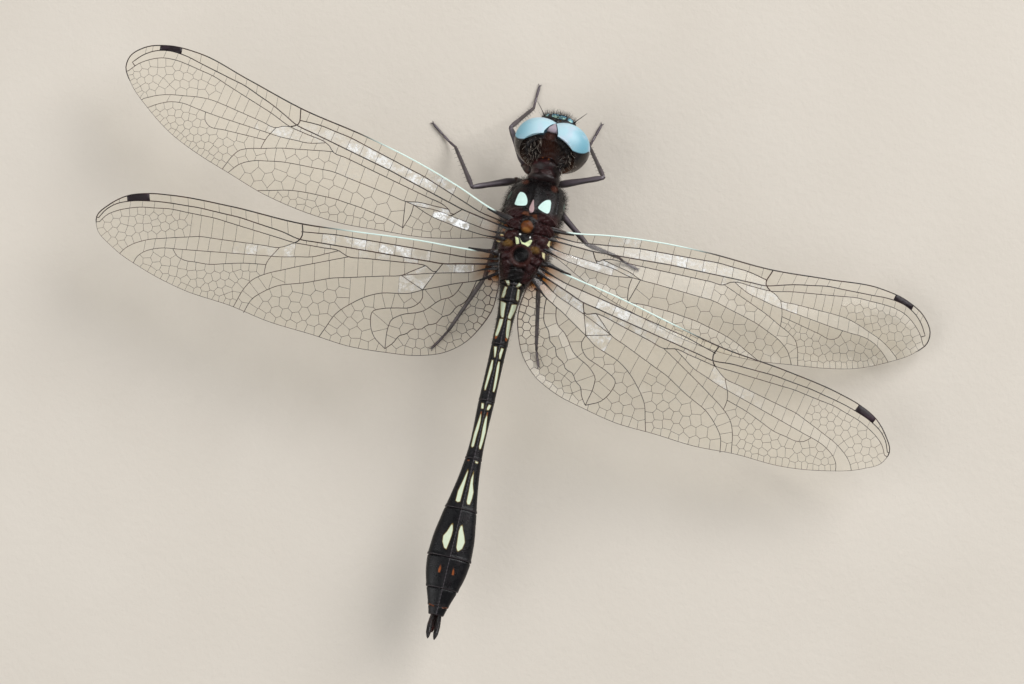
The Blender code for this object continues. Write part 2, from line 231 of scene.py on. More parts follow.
# %% [markdown]
# ## From points to a piece
#
# Every piece of the animal is a mesh made from points and faces. It could be shaped by hand, but
# code gives the same piece each run. Values can be stored on its points, such as how deep a point
# lies inside a mark, for its finish to read. Each piece then rides on the model's one body and may
# stand for a imported solid.

# %% From points to a piece
def face_outwards(mesh):
    """Turns every face to look outwards, so that bumps rise and hairs grow the right way."""
    work = bmesh.new()
    work.from_mesh(mesh)
    bmesh.ops.recalc_face_normals(work, faces=work.faces)
    work.to_mesh(mesh)
    work.free()


def piece(name, points, faces, finish, slot, stands_for=(), values=(), smooth=True):
    """One mesh piece from points in the animal's millimetres, riding on the model's body."""
    mesh = bpy.data.meshes.new(name)
    mesh.from_pydata(((np.asarray(points) + ORIGIN) * MM).tolist(), [], faces)
    for key, numbers in dict(values).items():
        mesh.attributes.new(key, "FLOAT", "POINT").data.foreach_set("value", numbers)
    face_outwards(mesh)
    if smooth:
        mesh.shade_smooth()
    made = bpy.data.objects.new(name, mesh)
    bpy.context.scene.collection.objects.link(made)
    mesh.materials.append(finish)
    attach(made, "root")
    if stands_for:
        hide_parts(*stands_for)
    print(name, len(faces), "faces")
    return made


# %% [markdown]
# ## Rounded solids
#
# Eyes, brow and mouth plates start from one fine ball that is stretched, squared and cut. A
# sculpted mesh could do the same, but with formulas each piece can be given its real size.

# %% Rounded solids
def tube_faces(rows, sides, first=0):
    """Quads round a row of rings, with a cap at each end."""
    faces = []
    for r in range(rows - 1):
        for i in range(sides):
            a, b = first + r * sides + i, first + r * sides + (i + 1) % sides
            faces.append((a, b, b + sides, a + sides))
    faces.append(tuple(first + i for i in reversed(range(sides))))
    faces.append(tuple(first + (rows - 1) * sides + i for i in range(sides)))
    return faces


def ball(radii, sides=48, rings=32, square=2.0):
    """A fine rounded solid about the origin; square above 2 fills its corners."""
    tilt = np.linspace(0, np.pi, rings + 1)[1:-1]
    turn = np.linspace(0, 2 * np.pi, sides, endpoint=False)
    x = np.sin(tilt)[:, None] * np.cos(turn)
    y = np.sin(tilt)[:, None] * np.sin(turn)
    z = np.repeat(np.cos(tilt)[:, None], sides, 1)
    shell = np.stack([x, y, z], -1).reshape(-1, 3)
    shell = np.concatenate([shell, ((0, 0, 1), (0, 0, -1))])
    shell /= (np.abs(shell) ** square).sum(1)[:, None] ** (1 / square)
    top, last = len(shell) - 2, (rings - 2) * sides
    faces = tube_faces(rings - 1, sides)[:-2]
    faces = [face[::-1] for face in faces]
    for i in range(sides):
        j = (i + 1) % sides
        faces += [(i, j, top), (last + j, last + i, top + 1)]
    return shell * radii, faces


def smooth_step(value, low, high):
    """Climbs from 0 at low to 1 at high, with no corner at either end."""
    t = np.clip((value - low) / (high - low), 0, 1)
    return t * t * (3 - 2 * t)


print("a ball has", len(ball((1, 1, 1))[1]), "faces")

# %% [markdown]
# ## Head frame
#
# The head hangs on a thin neck. It nods down in front and rolls a little to the animal's left.
# Its pieces could be drawn tilted, but a face is easier to draw straight. So all of them are
# drawn about the head's middle and turned once.

# %% Head frame
def spin(axis, degrees):
    """The matrix of a turn about one axis."""
    return np.array(Matrix.Rotation(math.radians(degrees), 3, axis))


HEAD_CENTRE = np.array((-0.55, -8.3, 5.9))
HEAD_SPIN = spin("Z", -3) @ spin("Y", 13) @ spin("X", 42)


def from_head(points):
    """Points drawn straight about the head's middle, moved to the animal's frame."""
    return np.asarray(points) @ HEAD_SPIN.T + HEAD_CENTRE


print("the face looks towards", (HEAD_SPIN @ (0, -1, 0)).round(2))

# %% [markdown]
# ## Eye finish
#
# Each compound eye is a dome of some ten thousand clear lenses, about 0.03 mm across. Modelled
# one by one they would be heavy, and finer ones than 0.05 mm would only shimmer, so they are
# drawn at that size as bumps in the finish. The upper lenses are sky blue under a waxy bloom; a
# thin black line parts them from the brown lower ones, which are glossier. A trace of subsurface
# light gives the blue its milky depth.

# %% Eye finish
def eye_finish():
    """Blue above, black at the border, brown below, with a soft waxy sheen."""
    made, tree, shader = blank_finish("eye")
    upper = paint(tree, "#B2D2DC", "#74AABC", "outward", 1.0, 2.7)
    upper = paint(tree, upper, "#C6C8D8", grain(tree, 1.6, 1.0), 0.48, 0.66, 0.6)
    lower = paint(tree, "#402A1C", "#170F0C", "blue", -2.2, -0.5)
    lower = paint(tree, lower, "#0E0A09", grain(tree, 0.5), 0.45, 0.75, 0.5)
    lower = paint(tree, lower, "#0B0A0B", "blue", -0.22, -0.1)
    tint = paint(tree, lower, upper, "blue", -0.06, 0.05)
    blue = node(tree, "Attribute", out="Fac", attribute_name="blue")
    wax = node(tree, "MapRange", {0: blue, 1: -0.2, 2: 0.1, 3: 0.16, 4: 0.36}, **SMOOTH)
    lenses = {"Height": pits(tree, 0.05), "Distance": 0.006 * MM, "Strength": 0.6}
    feed(tree, shader, {
        "Base Color": paint(tree, "#38505A", tint, "seam", -0.01, 0.03), "Roughness": wax,
        "IOR": 1.45, "Subsurface Weight": 0.15, "Subsurface Scale": 0.3 * MM,
        "Subsurface Radius": (0.6, 0.9, 1.0), "Normal": node(tree, "Bump", lenses),
    })
    return made


EYE = eye_finish()
print(EYE.name, len(EYE.node_tree.nodes), "nodes")

# %% [markdown]
# ## Eyes
#
# The two domes meet along a line in front and part behind it round a small wedge of skull. The
# nape hollows them from behind. Each could be cut with a boolean; pushing the points out of the
# wedge and of the hollow does it with clean faces and keeps the lenses even.

# %% Eyes
EYE_RADII, EYE_APART, EYE_TILT = (2.06, 1.76, 1.98), 0.87, 30
NAPE_CENTRE, NAPE_RADII = np.array((0, 2.4, 0.1)), np.array((2.2, 1.5, 2.2))


def push_out(points, centre, radii):
    """Moves the points inside an ellipsoid out to its surface, which leaves a smooth dish."""
    away = (points - centre) / radii
    reach = np.linalg.norm(away, axis=1)
    surface = centre + away / np.maximum(reach, 1e-6)[:, None] * radii
    return np.where((reach < 1)[:, None], surface, points)


def notch(y):
    """Half the width of the wedge behind the eyes' meeting line."""
    return 0.025 + 0.42 * np.clip(y + 0.42, 0, 1.2)


def make_eye(side, finish):
    """A dome cut to the middle wedge in front and to the hollow of the nape behind."""
    points, faces = ball(EYE_RADII, 120, 84)
    points = points @ spin("Y", -side * EYE_TILT).T + (side * EYE_APART, 0, 0)
    across = side * points[:, 0]
    least = np.where(points[:, 2] > 0.3, notch(points[:, 1]), 0.05)
    seam = across - least
    points[:, 0] = side * np.maximum(across, least)
    points = push_out(points, NAPE_CENTRE, NAPE_RADII + 0.35)
    front = 0.9 * smooth_step(-points[:, 1], -0.3, 0.8)
    values = {"blue": points[:, 2] - (1.95 - 0.53 * np.abs(points[:, 0])) + front,
              "outward": np.abs(points[:, 0]), "seam": seam}
    name = "eye_left" if side > 0 else "eye_right"
    return piece(name + "_dome", from_head(points), faces, finish, "eye", (name,), values)


for side in (1, -1):
    make_eye(side, EYE)

# %% [markdown]
# ## Shell finishes
#
# An insect's shell is cuticle, a hard natural plastic with an index of about 1.56. Dark cuticle
# is nearly black with a clean highlight; where it is thin it turns red-brown. Pale marks lie in
# the layer just under a clear skin, so they share the same gloss. Each mark reaches the shader
# as its own depth in millimetres, stored on the mesh, and one step turns that into an edge. The
# real pits are some 0.02 mm apart; they are drawn at 0.06 mm and more, so that they show.

# %% Shell finishes
CUTICLE_IOR = 1.56


def shell(name, dark, warm, marks=(), roughness=0.36, pit_mm=0.09, pit_depth=0.012, warm_size=0.9,
          gloss=0.3):
    """Dark cuticle with warmer patches, fine pits and pale marks with crisp edges."""
    made, tree, shader = blank_finish(name)
    tint = paint(tree, dark, warm, grain(tree, warm_size, 4.0), 0.48, 0.7)
    for mark, colour, edge in marks:
        mellow = [0.85 * a + 0.15 * b for a, b in zip(linear(colour), linear(warm))]
        inner = paint(tree, colour, mellow, grain(tree, 0.35, 3.0))
        tint = paint(tree, tint, inner, mark, -edge, edge)
    worn = {0: grain(tree, 0.3, 4.0), 1: 0.3, 2: 0.75, 3: roughness - 0.1, 4: roughness + 0.14}
    height = node(tree, "Math", {0: pits(tree, pit_mm), 1: grain(tree, 0.25, 4.0)}, operation="ADD")
    pitted = {"Height": height, "Distance": pit_depth * MM}
    feed(tree, shader, {
        "Base Color": tint, "Roughness": node(tree, "MapRange", worn, **SMOOTH),
        "IOR": CUTICLE_IOR, "Specular IOR Level": gloss, "Normal": node(tree, "Bump", pitted),
    })
    print(name, len(tree.nodes), "nodes")
    return made


# %% [markdown]
# ## Skull
#
# Behind the eyes the skull is a thin dark dish that the neck plugs into. Its top shows between
# the eyes as a small swollen triangle with a mauve bloom. It is a squared ball, hollowed by the
# same nape as the eyes so that they fit, with faint ribs where the muscles hold.

# %% Skull
def make_skull():
    """The back of the head, with the triangle between the eyes marked."""
    points, faces = ball((2.3, 1.55, 1.56), 128, 80, 2.6)
    x, y, z = points.T
    wedge = np.minimum.reduce([notch(y) + 0.02 - np.abs(x), 0.48 - y, y + 0.34])
    wedge = np.where(z > 1.0, wedge, -1.0)
    points[:, 2] += 0.3 * smooth_step(wedge, -0.03, 0.08)
    points[:, 2] -= 0.5 * smooth_step(-y, 0.34, 0.6) * (z > 0.5)
    ridge = np.exp(-((y - 0.55) / 0.07) ** 2) * (np.abs(x) < 0.7) * (z > 0)
    points[:, 2] -= 0.1 * ridge
    points = push_out(points, NAPE_CENTRE, NAPE_RADII)
    dish = points[:, 1] - 0.5
    fans = np.sin(np.arctan2(points[:, 0], points[:, 2] + 0.6) * 26)
    points[:, 1] += 0.03 * fans * (dish > 0.1)
    low = np.hypot(points[:, 0] / 0.55, (points[:, 2] + 0.75) / 0.3)
    back = np.exp(-(x / 0.45) ** 2) * smooth_step(points[:, 1], 0.4, 0.6)
    values = {"mauve": wedge, "warm": 0.35 * back - 0.2, "orange": 0.2 * (1 - low)}
    marks = (("warm", "#35190F", 0.2), ("orange", "#6A3016", 0.1), ("mauve", "#A69AA4", 0.025))
    finish = shell("skull", "#0E0807", "#2A140D", marks, 0.42, gloss=0.2)
    return piece("skull", from_head(points), faces, finish, "shell_brown", ("head",), values)


make_skull()

# %% [markdown]
# ## Brow
#
# The frons is the brow. In this male it is metallic blue, a colour made by thin layers and not by
# dye, so its finish is part metal, with a fine crackle. The blue is painted only where the brow
# gleams, as a painted highlight, with paler green higher up, and the rest is painted black. Behind
# it stands the vertex, a dark knob. A bump in the finish would leave its outline round, so the
# furrow and the feelers' sockets are pushed into the ball's points.

# %% Brow
def frons_finish():
    """Thin-film blue painted where the brow gleams, paler green higher up, black elsewhere: a
    painted highlight.
    """
    made, tree, shader = blank_finish("frons")
    # Painted highlight: paler green where the brow rises highest.
    film = paint(tree, "#66C6F0", "#CBF3DC", "high", 0.3, 0.95)
    film = paint(tree, film, "#2F8EC0", grain(tree, 0.2, 4.0), 0.4, 0.7)
    gleam = node(tree, "Attribute", out="Fac", attribute_name="gleam")
    # Painted highlight: blue film where the stored gleam is high, painted black elsewhere.
    lit = node(tree, "MapRange", {0: gleam, 1: -0.05, 2: 0.08}, **SMOOTH)
    crackle = {"Height": pits(tree, 0.06), "Distance": 0.015 * MM}
    feed(tree, shader, {
        "Base Color": paint(tree, "#0F0D10", film, lit), "Roughness": 0.3,
        "Metallic": node(tree, "MapRange", {0: lit, 4: 0.3}, **SMOOTH),
        "Normal": node(tree, "Bump", crackle),
    })
    return made


def gather(shapes):
    """Several (points, faces) shapes as one."""
    points, faces, count = [], [], 0
    for some, theirs in shapes:
        points.append(some)
        faces += [tuple(i + count for i in face) for face in theirs]
        count += len(some)
    return np.concatenate(points), faces


def make_frons():
    """A wide brow with a middle furrow, two dark feeler sockets and the vertex knob on top."""
    points, faces = ball((1.3, 0.72, 0.62), 96, 64, 2.4)
    x, y, z = points.T
    furrow = np.exp(-(x / 0.09) ** 2) * (y < 0.1)
    socket = np.exp(-(((np.abs(x) - 1.02) / 0.14) ** 2 + ((z - 0.3) / 0.2) ** 2))
    points[:, 1] += 0.02 * furrow
    points[:, 2] -= 0.12 * socket * (y < 0.4) + 0.01 * furrow
    rounds = np.degrees(np.arctan2(z / 0.62, -y / 0.72))
    # Painted highlight: the gleam is a wide middle band and two side spots, the left one fainter,
    # taken off the faces that turn down and back.
    band = 0.5 - np.abs(x)
    spots = 0.17 - np.abs(np.abs(x) - 0.84)
    gleam = np.maximum(band, spots - 0.08 * (x > 0))
    gleam -= 0.8 * (smooth_step(rounds, 95, 118) + smooth_step(-rounds, -46, -34))
    knob, knob_faces = ball((0.3, 0.3, 0.3), 48, 32, 2.3)
    shape = gather([(points * (1.08, 1, 1), faces), (knob + (0, 0.45, 0.35), knob_faces)])
    values = {"gleam": np.concatenate([gleam, np.full(len(knob), -0.5)]),
              "high": np.concatenate([np.clip((rounds - 46) / 49, 0, 1), np.zeros(len(knob))])}
    place = from_head(shape[0] + (0.1, -1.62, 0.96))
    return piece("frons_brow", place, shape[1], frons_finish(), "frons", ("frons",), values)


make_frons()

# %% [markdown]
# ## Mouth plates
#
# Below the brow hang the clypeus, the upper lip and the lower lip, all in dark cuticle with a
# paler band. They could be sculpted, but little more shows at their size than a squared ball
# with one groove down its middle and one across it.

# %% Mouth plates
def face_plate(name, centre, radii, groove, finish, slot):
    """A lip or mouth plate with a groove down its middle and one across it."""
    points, faces = ball(radii, 80, 48, 2.4)
    x, y, z = (points / radii).T
    dent = np.exp(-(x / 0.05) ** 2) + np.exp(-((z - groove) / 0.08) ** 2)
    points[:, 1] += 0.05 * np.minimum(dent, 1) * (y < 0)
    rim = 0.12 - 0.9 * smooth_step(np.abs(z + 0.1), 0.25, 0.6)
    values = {"pale": rim}
    return piece(name + "_plate", from_head(points + centre), faces, finish, slot, (name,), values)


FACE = shell("face", "#1B120F", "#3A2116", (("pale", "#8F8A6C", 0.1),), 0.4)
face_plate("clypeus", (0, -1.5, -0.05), (1.2, 0.52, 0.5), -0.2, FACE, "shell_brown")
face_plate("labrum", (0, -1.4, -0.85), (1.1, 0.48, 0.5), 0.3, FACE, "shell_black")
face_plate("labium", (0, -0.4, -1.6), (1.2, 1.1, 0.45), 0.0, FACE, "shell_brown")

# %% [markdown]
# ## Feelers
#
# A dragonfly's feelers are two short bristles on a thick pair of first joints. A curve with a
# bevel could draw one; a tube of rings, each with its own radius, shows the joints as well.

# %% Feelers
def tube(points, radii, sides=12):
    """Points and faces of a round tapered tube along a path."""
    points = np.asarray(points, float)
    ahead = np.gradient(points, axis=0)
    ahead /= np.linalg.norm(ahead, axis=1)[:, None]
    side = np.cross(ahead, (0.03, 0.05, 1.0))
    side /= np.linalg.norm(side, axis=1)[:, None]
    up = np.cross(side, ahead)
    angle = np.linspace(0, 2 * np.pi, sides, endpoint=False)
    ring = np.cos(angle)[None, :, None] * side[:, None] + np.sin(angle)[None, :, None] * up[:, None]
    verts = points[:, None] + ring * np.asarray(radii, float)[:, None, None]
    return verts.reshape(-1, 3), tube_faces(len(points), sides)


DARK = shell("dark_cuticle", "#120D0D", "#2A1813", (), 0.34)


def make_feeler(side):
    """Two stout joints and a bristle that thins to a hair."""
    root = from_head((side * 1.08 + 0.08, -1.8, 1.15))
    steps = (0, 0.07, 0.09, 0.18, 0.2, 0.3, 0.65, 1.0)
    radii = (0.09, 0.1, 0.06, 0.08, 0.036, 0.03, 0.024, 0.014)
    bow = [root + np.array((side * 0.86, -0.94, 0.45 + 0.1 * (1 - t))) * t for t in steps]
    points, faces = tube(bow, radii, 10)
    name = "antenna_left" if side > 0 else "antenna_right"
    return piece(name + "_bristle", points, faces, DARK, "shell_black", (name,))


for side in (1, -1):
    make_feeler(side)

# %% [markdown]
# ## Simple eyes
#
# Beside the knob sit three bead-like simple eyes, each one clear lens over amber tissue. A clear
# shell round a core would be truer, but too small to show, so each is one amber ball, the
# glossiest thing on the animal.

# %% Simple eyes
def simple_eye_finish():
    """Smooth wet-looking lens, amber to dark."""
    made, tree, shader = blank_finish("simple_eye")
    amber = paint(tree, "#4A3018", "#1E120C", grain(tree, 0.1), 0.4, 0.6)
    feed(tree, shader, {"Base Color": amber, "Roughness": 0.12})
    return made


def make_simple_eyes():
    """Three glossy amber beads round the knob."""
    shapes = []
    for place in ((0.1, -1.5, 1.5), (0.36, -1.24, 1.5), (-0.16, -1.24, 1.5)):
        points, faces = ball((0.09, 0.09, 0.08), 20, 14)
        shapes.append((from_head(points + place), faces))
    return piece("simple_eyes", *gather(shapes), simple_eye_finish(), "eye")


make_simple_eyes()

# %% [markdown]
# ## Marks drawn in plan
#
# The pale marks are outlines drawn from above. Painted in a texture they would blur close up. So
# each fine skin point stores how deep it lies inside the nearest outline, in millimetres, and
# the finish turns that depth into a crisp edge. The same depths raise the marks a little.

# %% Marks drawn in plan
def to_segments(points, path):
    """Distance from each of many 2-D points to a path of 2-D points."""
    best = np.full(len(points), np.inf)
    for a, b in zip(path, path[1:]):
        a, b = np.array(a, float), np.array(b, float)
        along = np.clip((points - a) @ (b - a) / max((b - a) @ (b - a), 1e-9), 0, 1)
        best = np.minimum(best, np.linalg.norm(points - a - along[:, None] * (b - a), axis=1))
    return best


def inside(points, outline):
    """Which 2-D points lie in a closed outline."""
    found = np.zeros(len(points), bool)
    x, y = points.T
    for (x0, y0), (x1, y1) in zip(outline, outline[1:] + outline[:1]):
        crosses = (y0 > y) != (y1 > y)
        found ^= crosses & (x < (x1 - x0) * (y - y0) / (y1 - y0 + 1e-12) + x0)
    return found


def mark_depth(points, outlines):
    """How deep each 2-D point lies inside the nearest outline, in mm; below zero is outside."""
    best = np.full(len(points), -9.0)
    for outline in outlines:
        distance = to_segments(points, outline + outline[:1])
        best = np.maximum(best, np.where(inside(points, outline), distance, -distance))
    return best


def rounded(outline, times=2):
    """Cuts an outline's corners, so that a drawn mark has no hard points."""
    for _ in range(times):
        following = outline[1:] + outline[:1]
        outline = [tuple(a[k] + (b[k] - a[k]) * t for k in (0, 1))
                   for a, b in zip(outline, following) for t in (0.25, 0.75)]
    return outline


unit_square = [(0, 0), (1, 0), (1, 1), (0, 1)]
print("depth at a unit square's middle", mark_depth(np.array([(0.5, 0.5)]), [unit_square])[0])

# %% [markdown]
# ## Neck collar
#
# The prothorax is a small dark shield between head and thorax. Its front edge is a thin pale
# rim, and its hind edge rises as two soft red-brown lobes. Collar and thorax are both fine skins
# through a few rows of widths and heights, which is how a loft is drawn by hand.

# %% Neck collar
COLLAR_RIM = [(0.75, -6.56), (0.56, -7.04), (0.22, -7.29), (-0.28, -7.36), (-0.9, -7.29),
              (-1.35, -6.98), (-1.57, -6.5)]
COLLAR_LOBES = [[(0.48, -6.38), (0.05, -6.33), (0.01, -5.95), (0.39, -5.9), (0.61, -6.08)],
                [(-0.08, -6.33), (-0.95, -6.38), (-1.18, -6.14), (-0.9, -5.92), (-0.13, -5.95)]]
COLLAR_SPOTS = ([(-0.06, -7.2), (-0.08, -7.2)], [(-0.5, -7.15), (-0.52, -7.15)])


def cubic(places, rows, at):
    """Smooth values between rows of numbers, by Catmull-Rom steps."""
    places, rows, at = np.asarray(places, float), np.asarray(rows, float), np.asarray(at, float)
    slope = np.gradient(rows, places, axis=0)
    i = np.clip(np.searchsorted(places, at, "right") - 1, 0, len(places) - 2)
    gap = (places[i + 1] - places[i])[:, None]
    t = ((at - places[i]) / gap[:, 0])[:, None]
    a, b = rows[i], rows[i + 1]
    return ((2 * t**3 - 3 * t**2 + 1) * a + (t**3 - 2 * t**2 + t) * gap * slope[i]
            + (3 * t**2 - 2 * t**3) * b + (t**3 - t**2) * gap * slope[i + 1])


def tunnel(rows, middle, square, steps, sides):
    """A fine skin through rows of (y, half width, top, bottom), along a middle line of (y, x)."""
    rows = np.array(rows, float)
    y = np.linspace(rows[0, 0], rows[-1, 0], steps)
    wide, top, bottom = cubic(rows[:, 0], rows[:, 1:], y).T
    turn = np.linspace(0, 2 * np.pi, sides, endpoint=False) + np.pi / sides
    cos, sin = np.cos(turn), np.sin(turn)
    across = np.sign(cos) * np.abs(cos) ** (2 / square)
    up = np.sign(sin) * np.abs(sin) ** (2 / square)
    points = np.empty((steps, sides, 3))
    points[..., 0] = np.interp(y, *np.transpose(middle))[:, None] + wide[:, None] * across
    points[..., 1] = y[:, None]
    points[..., 2] = ((top + bottom) / 2)[:, None] + ((top - bottom) / 2)[:, None] * up
    return points.reshape(-1, 3), tube_faces(steps, sides), np.tile(up, steps)


def make_collar():
    """The neck shield with its rim, lobes and two orange spots."""
    rows = ((-7.6, 0.46, 6.0, 4.9), (-7.4, 0.56, 6.05, 4.8), (-7.24, 0.8, 6.24, 4.6),
            (-7.0, 1.08, 6.4, 4.35), (-6.55, 1.2, 6.44, 4.0), (-6.3, 1.12, 6.3, 3.9),
            (-6.12, 1.12, 6.36, 3.85), (-5.8, 1.22, 6.5, 3.75), (-5.3, 1.1, 6.2, 3.9))
    points, faces, up = tunnel(rows, [(-7, -0.6), (-5, -0.5)], 2.3, 90, 96)
    plan, top = points[:, :2], up > 0.2
    depths = {
        "rim": 0.05 - to_segments(plan, COLLAR_RIM),
        "lobe": mark_depth(plan, [rounded(lobe) for lobe in COLLAR_LOBES]),
        "spot": 0.06 - np.minimum(*(to_segments(plan, spot) for spot in COLLAR_SPOTS)),
    }
    rise = 0.06 * smooth_step(depths["rim"], -0.05, 0.03)
    points[:, 2] += top * (rise + 0.08 * smooth_step(depths["lobe"], 0, 0.1))
    values = {mark: np.where(top, depth, -1) for mark, depth in depths.items()}
    marks = (("rim", "#9A8C92", 0.02), ("lobe", "#33201F", 0.06), ("spot", "#A5602A", 0.02))
    finish = shell("collar", "#1A0C0B", "#3B1517", marks, 0.38)
    return piece("collar", points, faces, finish, "shell_brown", ("prothorax",), values)


make_collar()

# %% [markdown]
# ## Thorax marks
#
# The thorax is one hard box of fused plates full of wing muscle. It could be sculpted, but it
# has no overhangs, so rows of its half width, top and bottom are enough. In front the back
# carries two mint spots and a mauve keel; behind them come an amber ball, pale dots and
# chevrons, and a dark dish with a raised rim.

# %% Thorax marks
THORAX_ROWS = (
    (-5.55, 1.0, 6.1, 3.9), (-5.35, 1.35, 6.4, 3.65), (-4.95, 1.8, 6.9, 3.15),
    (-4.2, 2.1, 7.45, 2.75), (-3.3, 2.16, 7.9, 2.6), (-2.3, 2.16, 8.16, 2.65),
    (-1.4, 2.12, 8.0, 2.8), (0.0, 2.0, 7.95, 3.2), (1.0, 1.95, 7.85, 3.65),
    (1.8, 1.7, 7.65, 4.15), (2.35, 1.3, 7.35, 4.7), (2.7, 1.0, 7.1, 5.1),
)
THORAX_MIDDLE = ((-5.5, -0.45), (-4.0, -0.38), (-2.5, -0.28), (0.0, -0.2), (2.7, -0.08))
MINT = [[(1.15, -3.95), (0.85, -3.98), (0.62, -3.8), (0.42, -3.4), (0.4, -3.05), (0.5, -2.9),
         (1.0, -2.8), (1.28, -2.85), (1.3, -3.0)],
        [(-1.33, -3.85), (-1.0, -3.8), (-0.7, -3.5), (-0.5, -3.15), (-0.45, -2.95),
         (-0.6, -2.85), (-1.0, -2.7), (-1.3, -2.7), (-1.4, -3.0)]]
KEEL = [(0, -3.6), (0.09, -3.25), (0.19, -2.8), (0.17, -2.6), (0, -2.3), (-0.18, -2.55),
        (-0.2, -2.8), (-0.1, -3.2)]
SINUS = [[(0.66, -2.2), (0.5, -2.46), (0.15, -2.46), (0.06, -2.2)],
         [(-0.1, -2.25), (-0.2, -2.5), (-0.45, -2.42), (-0.62, -2.1), (-0.35, -2.05)]]
BALL = (0.03, -1.4)
DOTS = ((0.4, -0.7), (-0.36, -0.64))
CHEVRONS = [[(0.72, -0.45), (0.46, -0.4), (0.32, 0.0), (0.5, 0.1), (0.6, -0.1)],
            [(0.42, -0.5), (0.14, -0.18), (-0.06, -0.14), (-0.3, -0.46), (-0.36, -0.5),
             (-0.16, -0.02), (0.12, 0.0)],
            [(-0.6, -0.45), (-0.42, -0.5), (-0.14, 0.06), (-0.4, 0.1), (-0.55, -0.2)]]
AMBER = ((1.15, 0.1, 0.38, 0.26), (-0.95, 0.2, 0.36, 0.26))
BLOTCHES = ((0.86, -5.0, 0.24, 0.26), (-1.42, -4.9, 0.24, 0.28))
CREAM = [[(-1.5, 0.2), (-1.75, 0.25), (-1.85, 0.65), (-1.65, 0.6)],
         [(2.1, -0.95), (1.95, -0.9), (1.9, -0.55), (2.1, -0.5)],
         [(-2.1, -0.85), (-1.85, -0.8), (-1.75, -0.45), (-2.1, -0.35)]]
# The dish: a middle for its rim and one for its floor, then how far out each one reaches.
DISH_RIM, DISH_FLOOR = (0.0, 0.85, 0.86), (0.0, 0.78, 0.58)
print("thorax", THORAX_ROWS[-1][0] - THORAX_ROWS[0][0], "mm long")

# %% [markdown]
# ## Thorax relief
#
# Between the wings the back is a maze of bulges and grooves, where the plates give as the wings
# beat. They are listed once, measured out from the middle, and used for both sides. A bump in
# the finish would look flat from the side, so the skin itself is pushed up.

# %% Thorax relief
# One side's ridges and, below zero, grooves: a path, its width and its height.
SIDE_CREASES = (
    (((0.1, -2.5), (0.6, -2.62), (1.2, -2.5), (2.0, -2.1)), 0.1, 0.16),
    (((1.5, -5.1), (1.72, -4.2), (1.8, -2.9)), 0.06, -0.08),
    (((0.15, -5.35), (0.9, -5.2), (1.5, -4.8)), 0.07, -0.1),
    (((0.35, -2.2), (0.7, -1.9), (1.5, -1.85), (2.1, -1.9)), 0.08, -0.16),
    (((0.55, -1.0), (1.3, -1.05), (2.1, -1.1)), 0.07, -0.2),
    (((0.7, -1.75), (1.2, -1.62), (1.6, -1.75)), 0.045, 0.08),
    (((0.85, -0.5), (0.75, 0.3), (1.0, 0.6), (1.9, 0.75)), 0.06, -0.16),
    (((0.8, 1.25), (1.3, 1.35), (2.0, 1.5)), 0.05, -0.14),
    (((0.3, 1.75), (0.9, 1.95), (1.5, 2.2)), 0.07, -0.14),
)
# One side's bulges: a middle, half width, half length and height.
SIDE_BULGES = (
    (1.05, -1.55, 0.5, 0.3, 0.16), (1.7, -1.5, 0.4, 0.22, 0.14), (1.3, -0.55, 0.55, 0.3, 0.2),
    (1.75, 0.45, 0.3, 0.35, 0.12), (1.3, 1.05, 0.5, 0.3, 0.18), (1.05, 1.55, 0.35, 0.25, 0.15),
)
MIDDLE_CREASES = (
    (((-0.05, -5.3), (0, -3.6), (0, -2.4)), 0.07, 0.12),
    (((0.45, -0.95), (0, -0.88), (-0.45, -0.95)), 0.08, -0.14),
    (((0.6, 2.0), (-0.6, 2.0)), 0.06, 0.1),
)
MIDLINE = -0.05


def swell(plan, x, y, wide, long, height):
    """A rounded rise with a soft foot."""
    reach = ((plan[:, 0] - x) / wide) ** 2 + ((plan[:, 1] - y) / long) ** 2
    return height * np.sqrt(np.clip(1 - reach, 0, 1))


def crease(plan, path, width, height):
    """A ridge, or with a negative height a groove, along a path in plan."""
    return height * np.exp(-(to_segments(plan, path) / width) ** 2)


def thorax_relief(plan):
    """How far the thorax's back rises above its plain box, in mm."""
    rise = sum(crease(plan, *ridge) for ridge in MIDDLE_CREASES)
    for side in (1, -1):
        for path, width, height in SIDE_CREASES:
            rise += crease(plan, [(side * x + MIDLINE, y) for x, y in path], width, height)
        for x, y, *size in SIDE_BULGES:
            rise += swell(plan, side * x + MIDLINE, y, *size)
    rise += 0.07 * smooth_step(mark_depth(plan, [KEEL]), -0.02, 0.12)
    rise += 0.08 * smooth_step(mark_depth(plan, CHEVRONS), -0.02, 0.08)
    rise += swell(plan, *BALL, 0.48, 0.45, 0.34) + sum(swell(plan, *spot, 0.2) for spot in AMBER)
    rise += sum(swell(plan, x, y, 0.09, 0.09, 0.06) for x, y in DOTS)
    out = np.hypot(plan[:, 0] - DISH_RIM[0], plan[:, 1] - DISH_RIM[1])
    rise += 0.12 * np.exp(-((out - 0.76) / 0.13) ** 2) - 0.26 * smooth_step(0.66 - out, 0, 0.4)
    rough = smooth_step(plan[:, 1], -2.6, -2.1) * smooth_step(out, 0.7, 0.9)
    rise += 0.035 * rough * np.sin(9 * plan[:, 0] + 5 * np.sin(4 * plan[:, 1]))
    return rise + 0.03 * rough * np.sin(13 * plan[:, 1] + 6 * np.sin(3 * plan[:, 0]))


print("the amber ball rises", thorax_relief(np.array([BALL]))[0].round(2), "mm")

# %% [markdown]
# ## Thorax shell
#
# The skin is fine enough, with points some 0.05 mm apart, to hold both the relief and the marks.
# Marks made as thin pieces would stand proud of it; on one skin they share its relief and gloss.
# The flanks have three slanting sutures and three faint grey-green stripes.

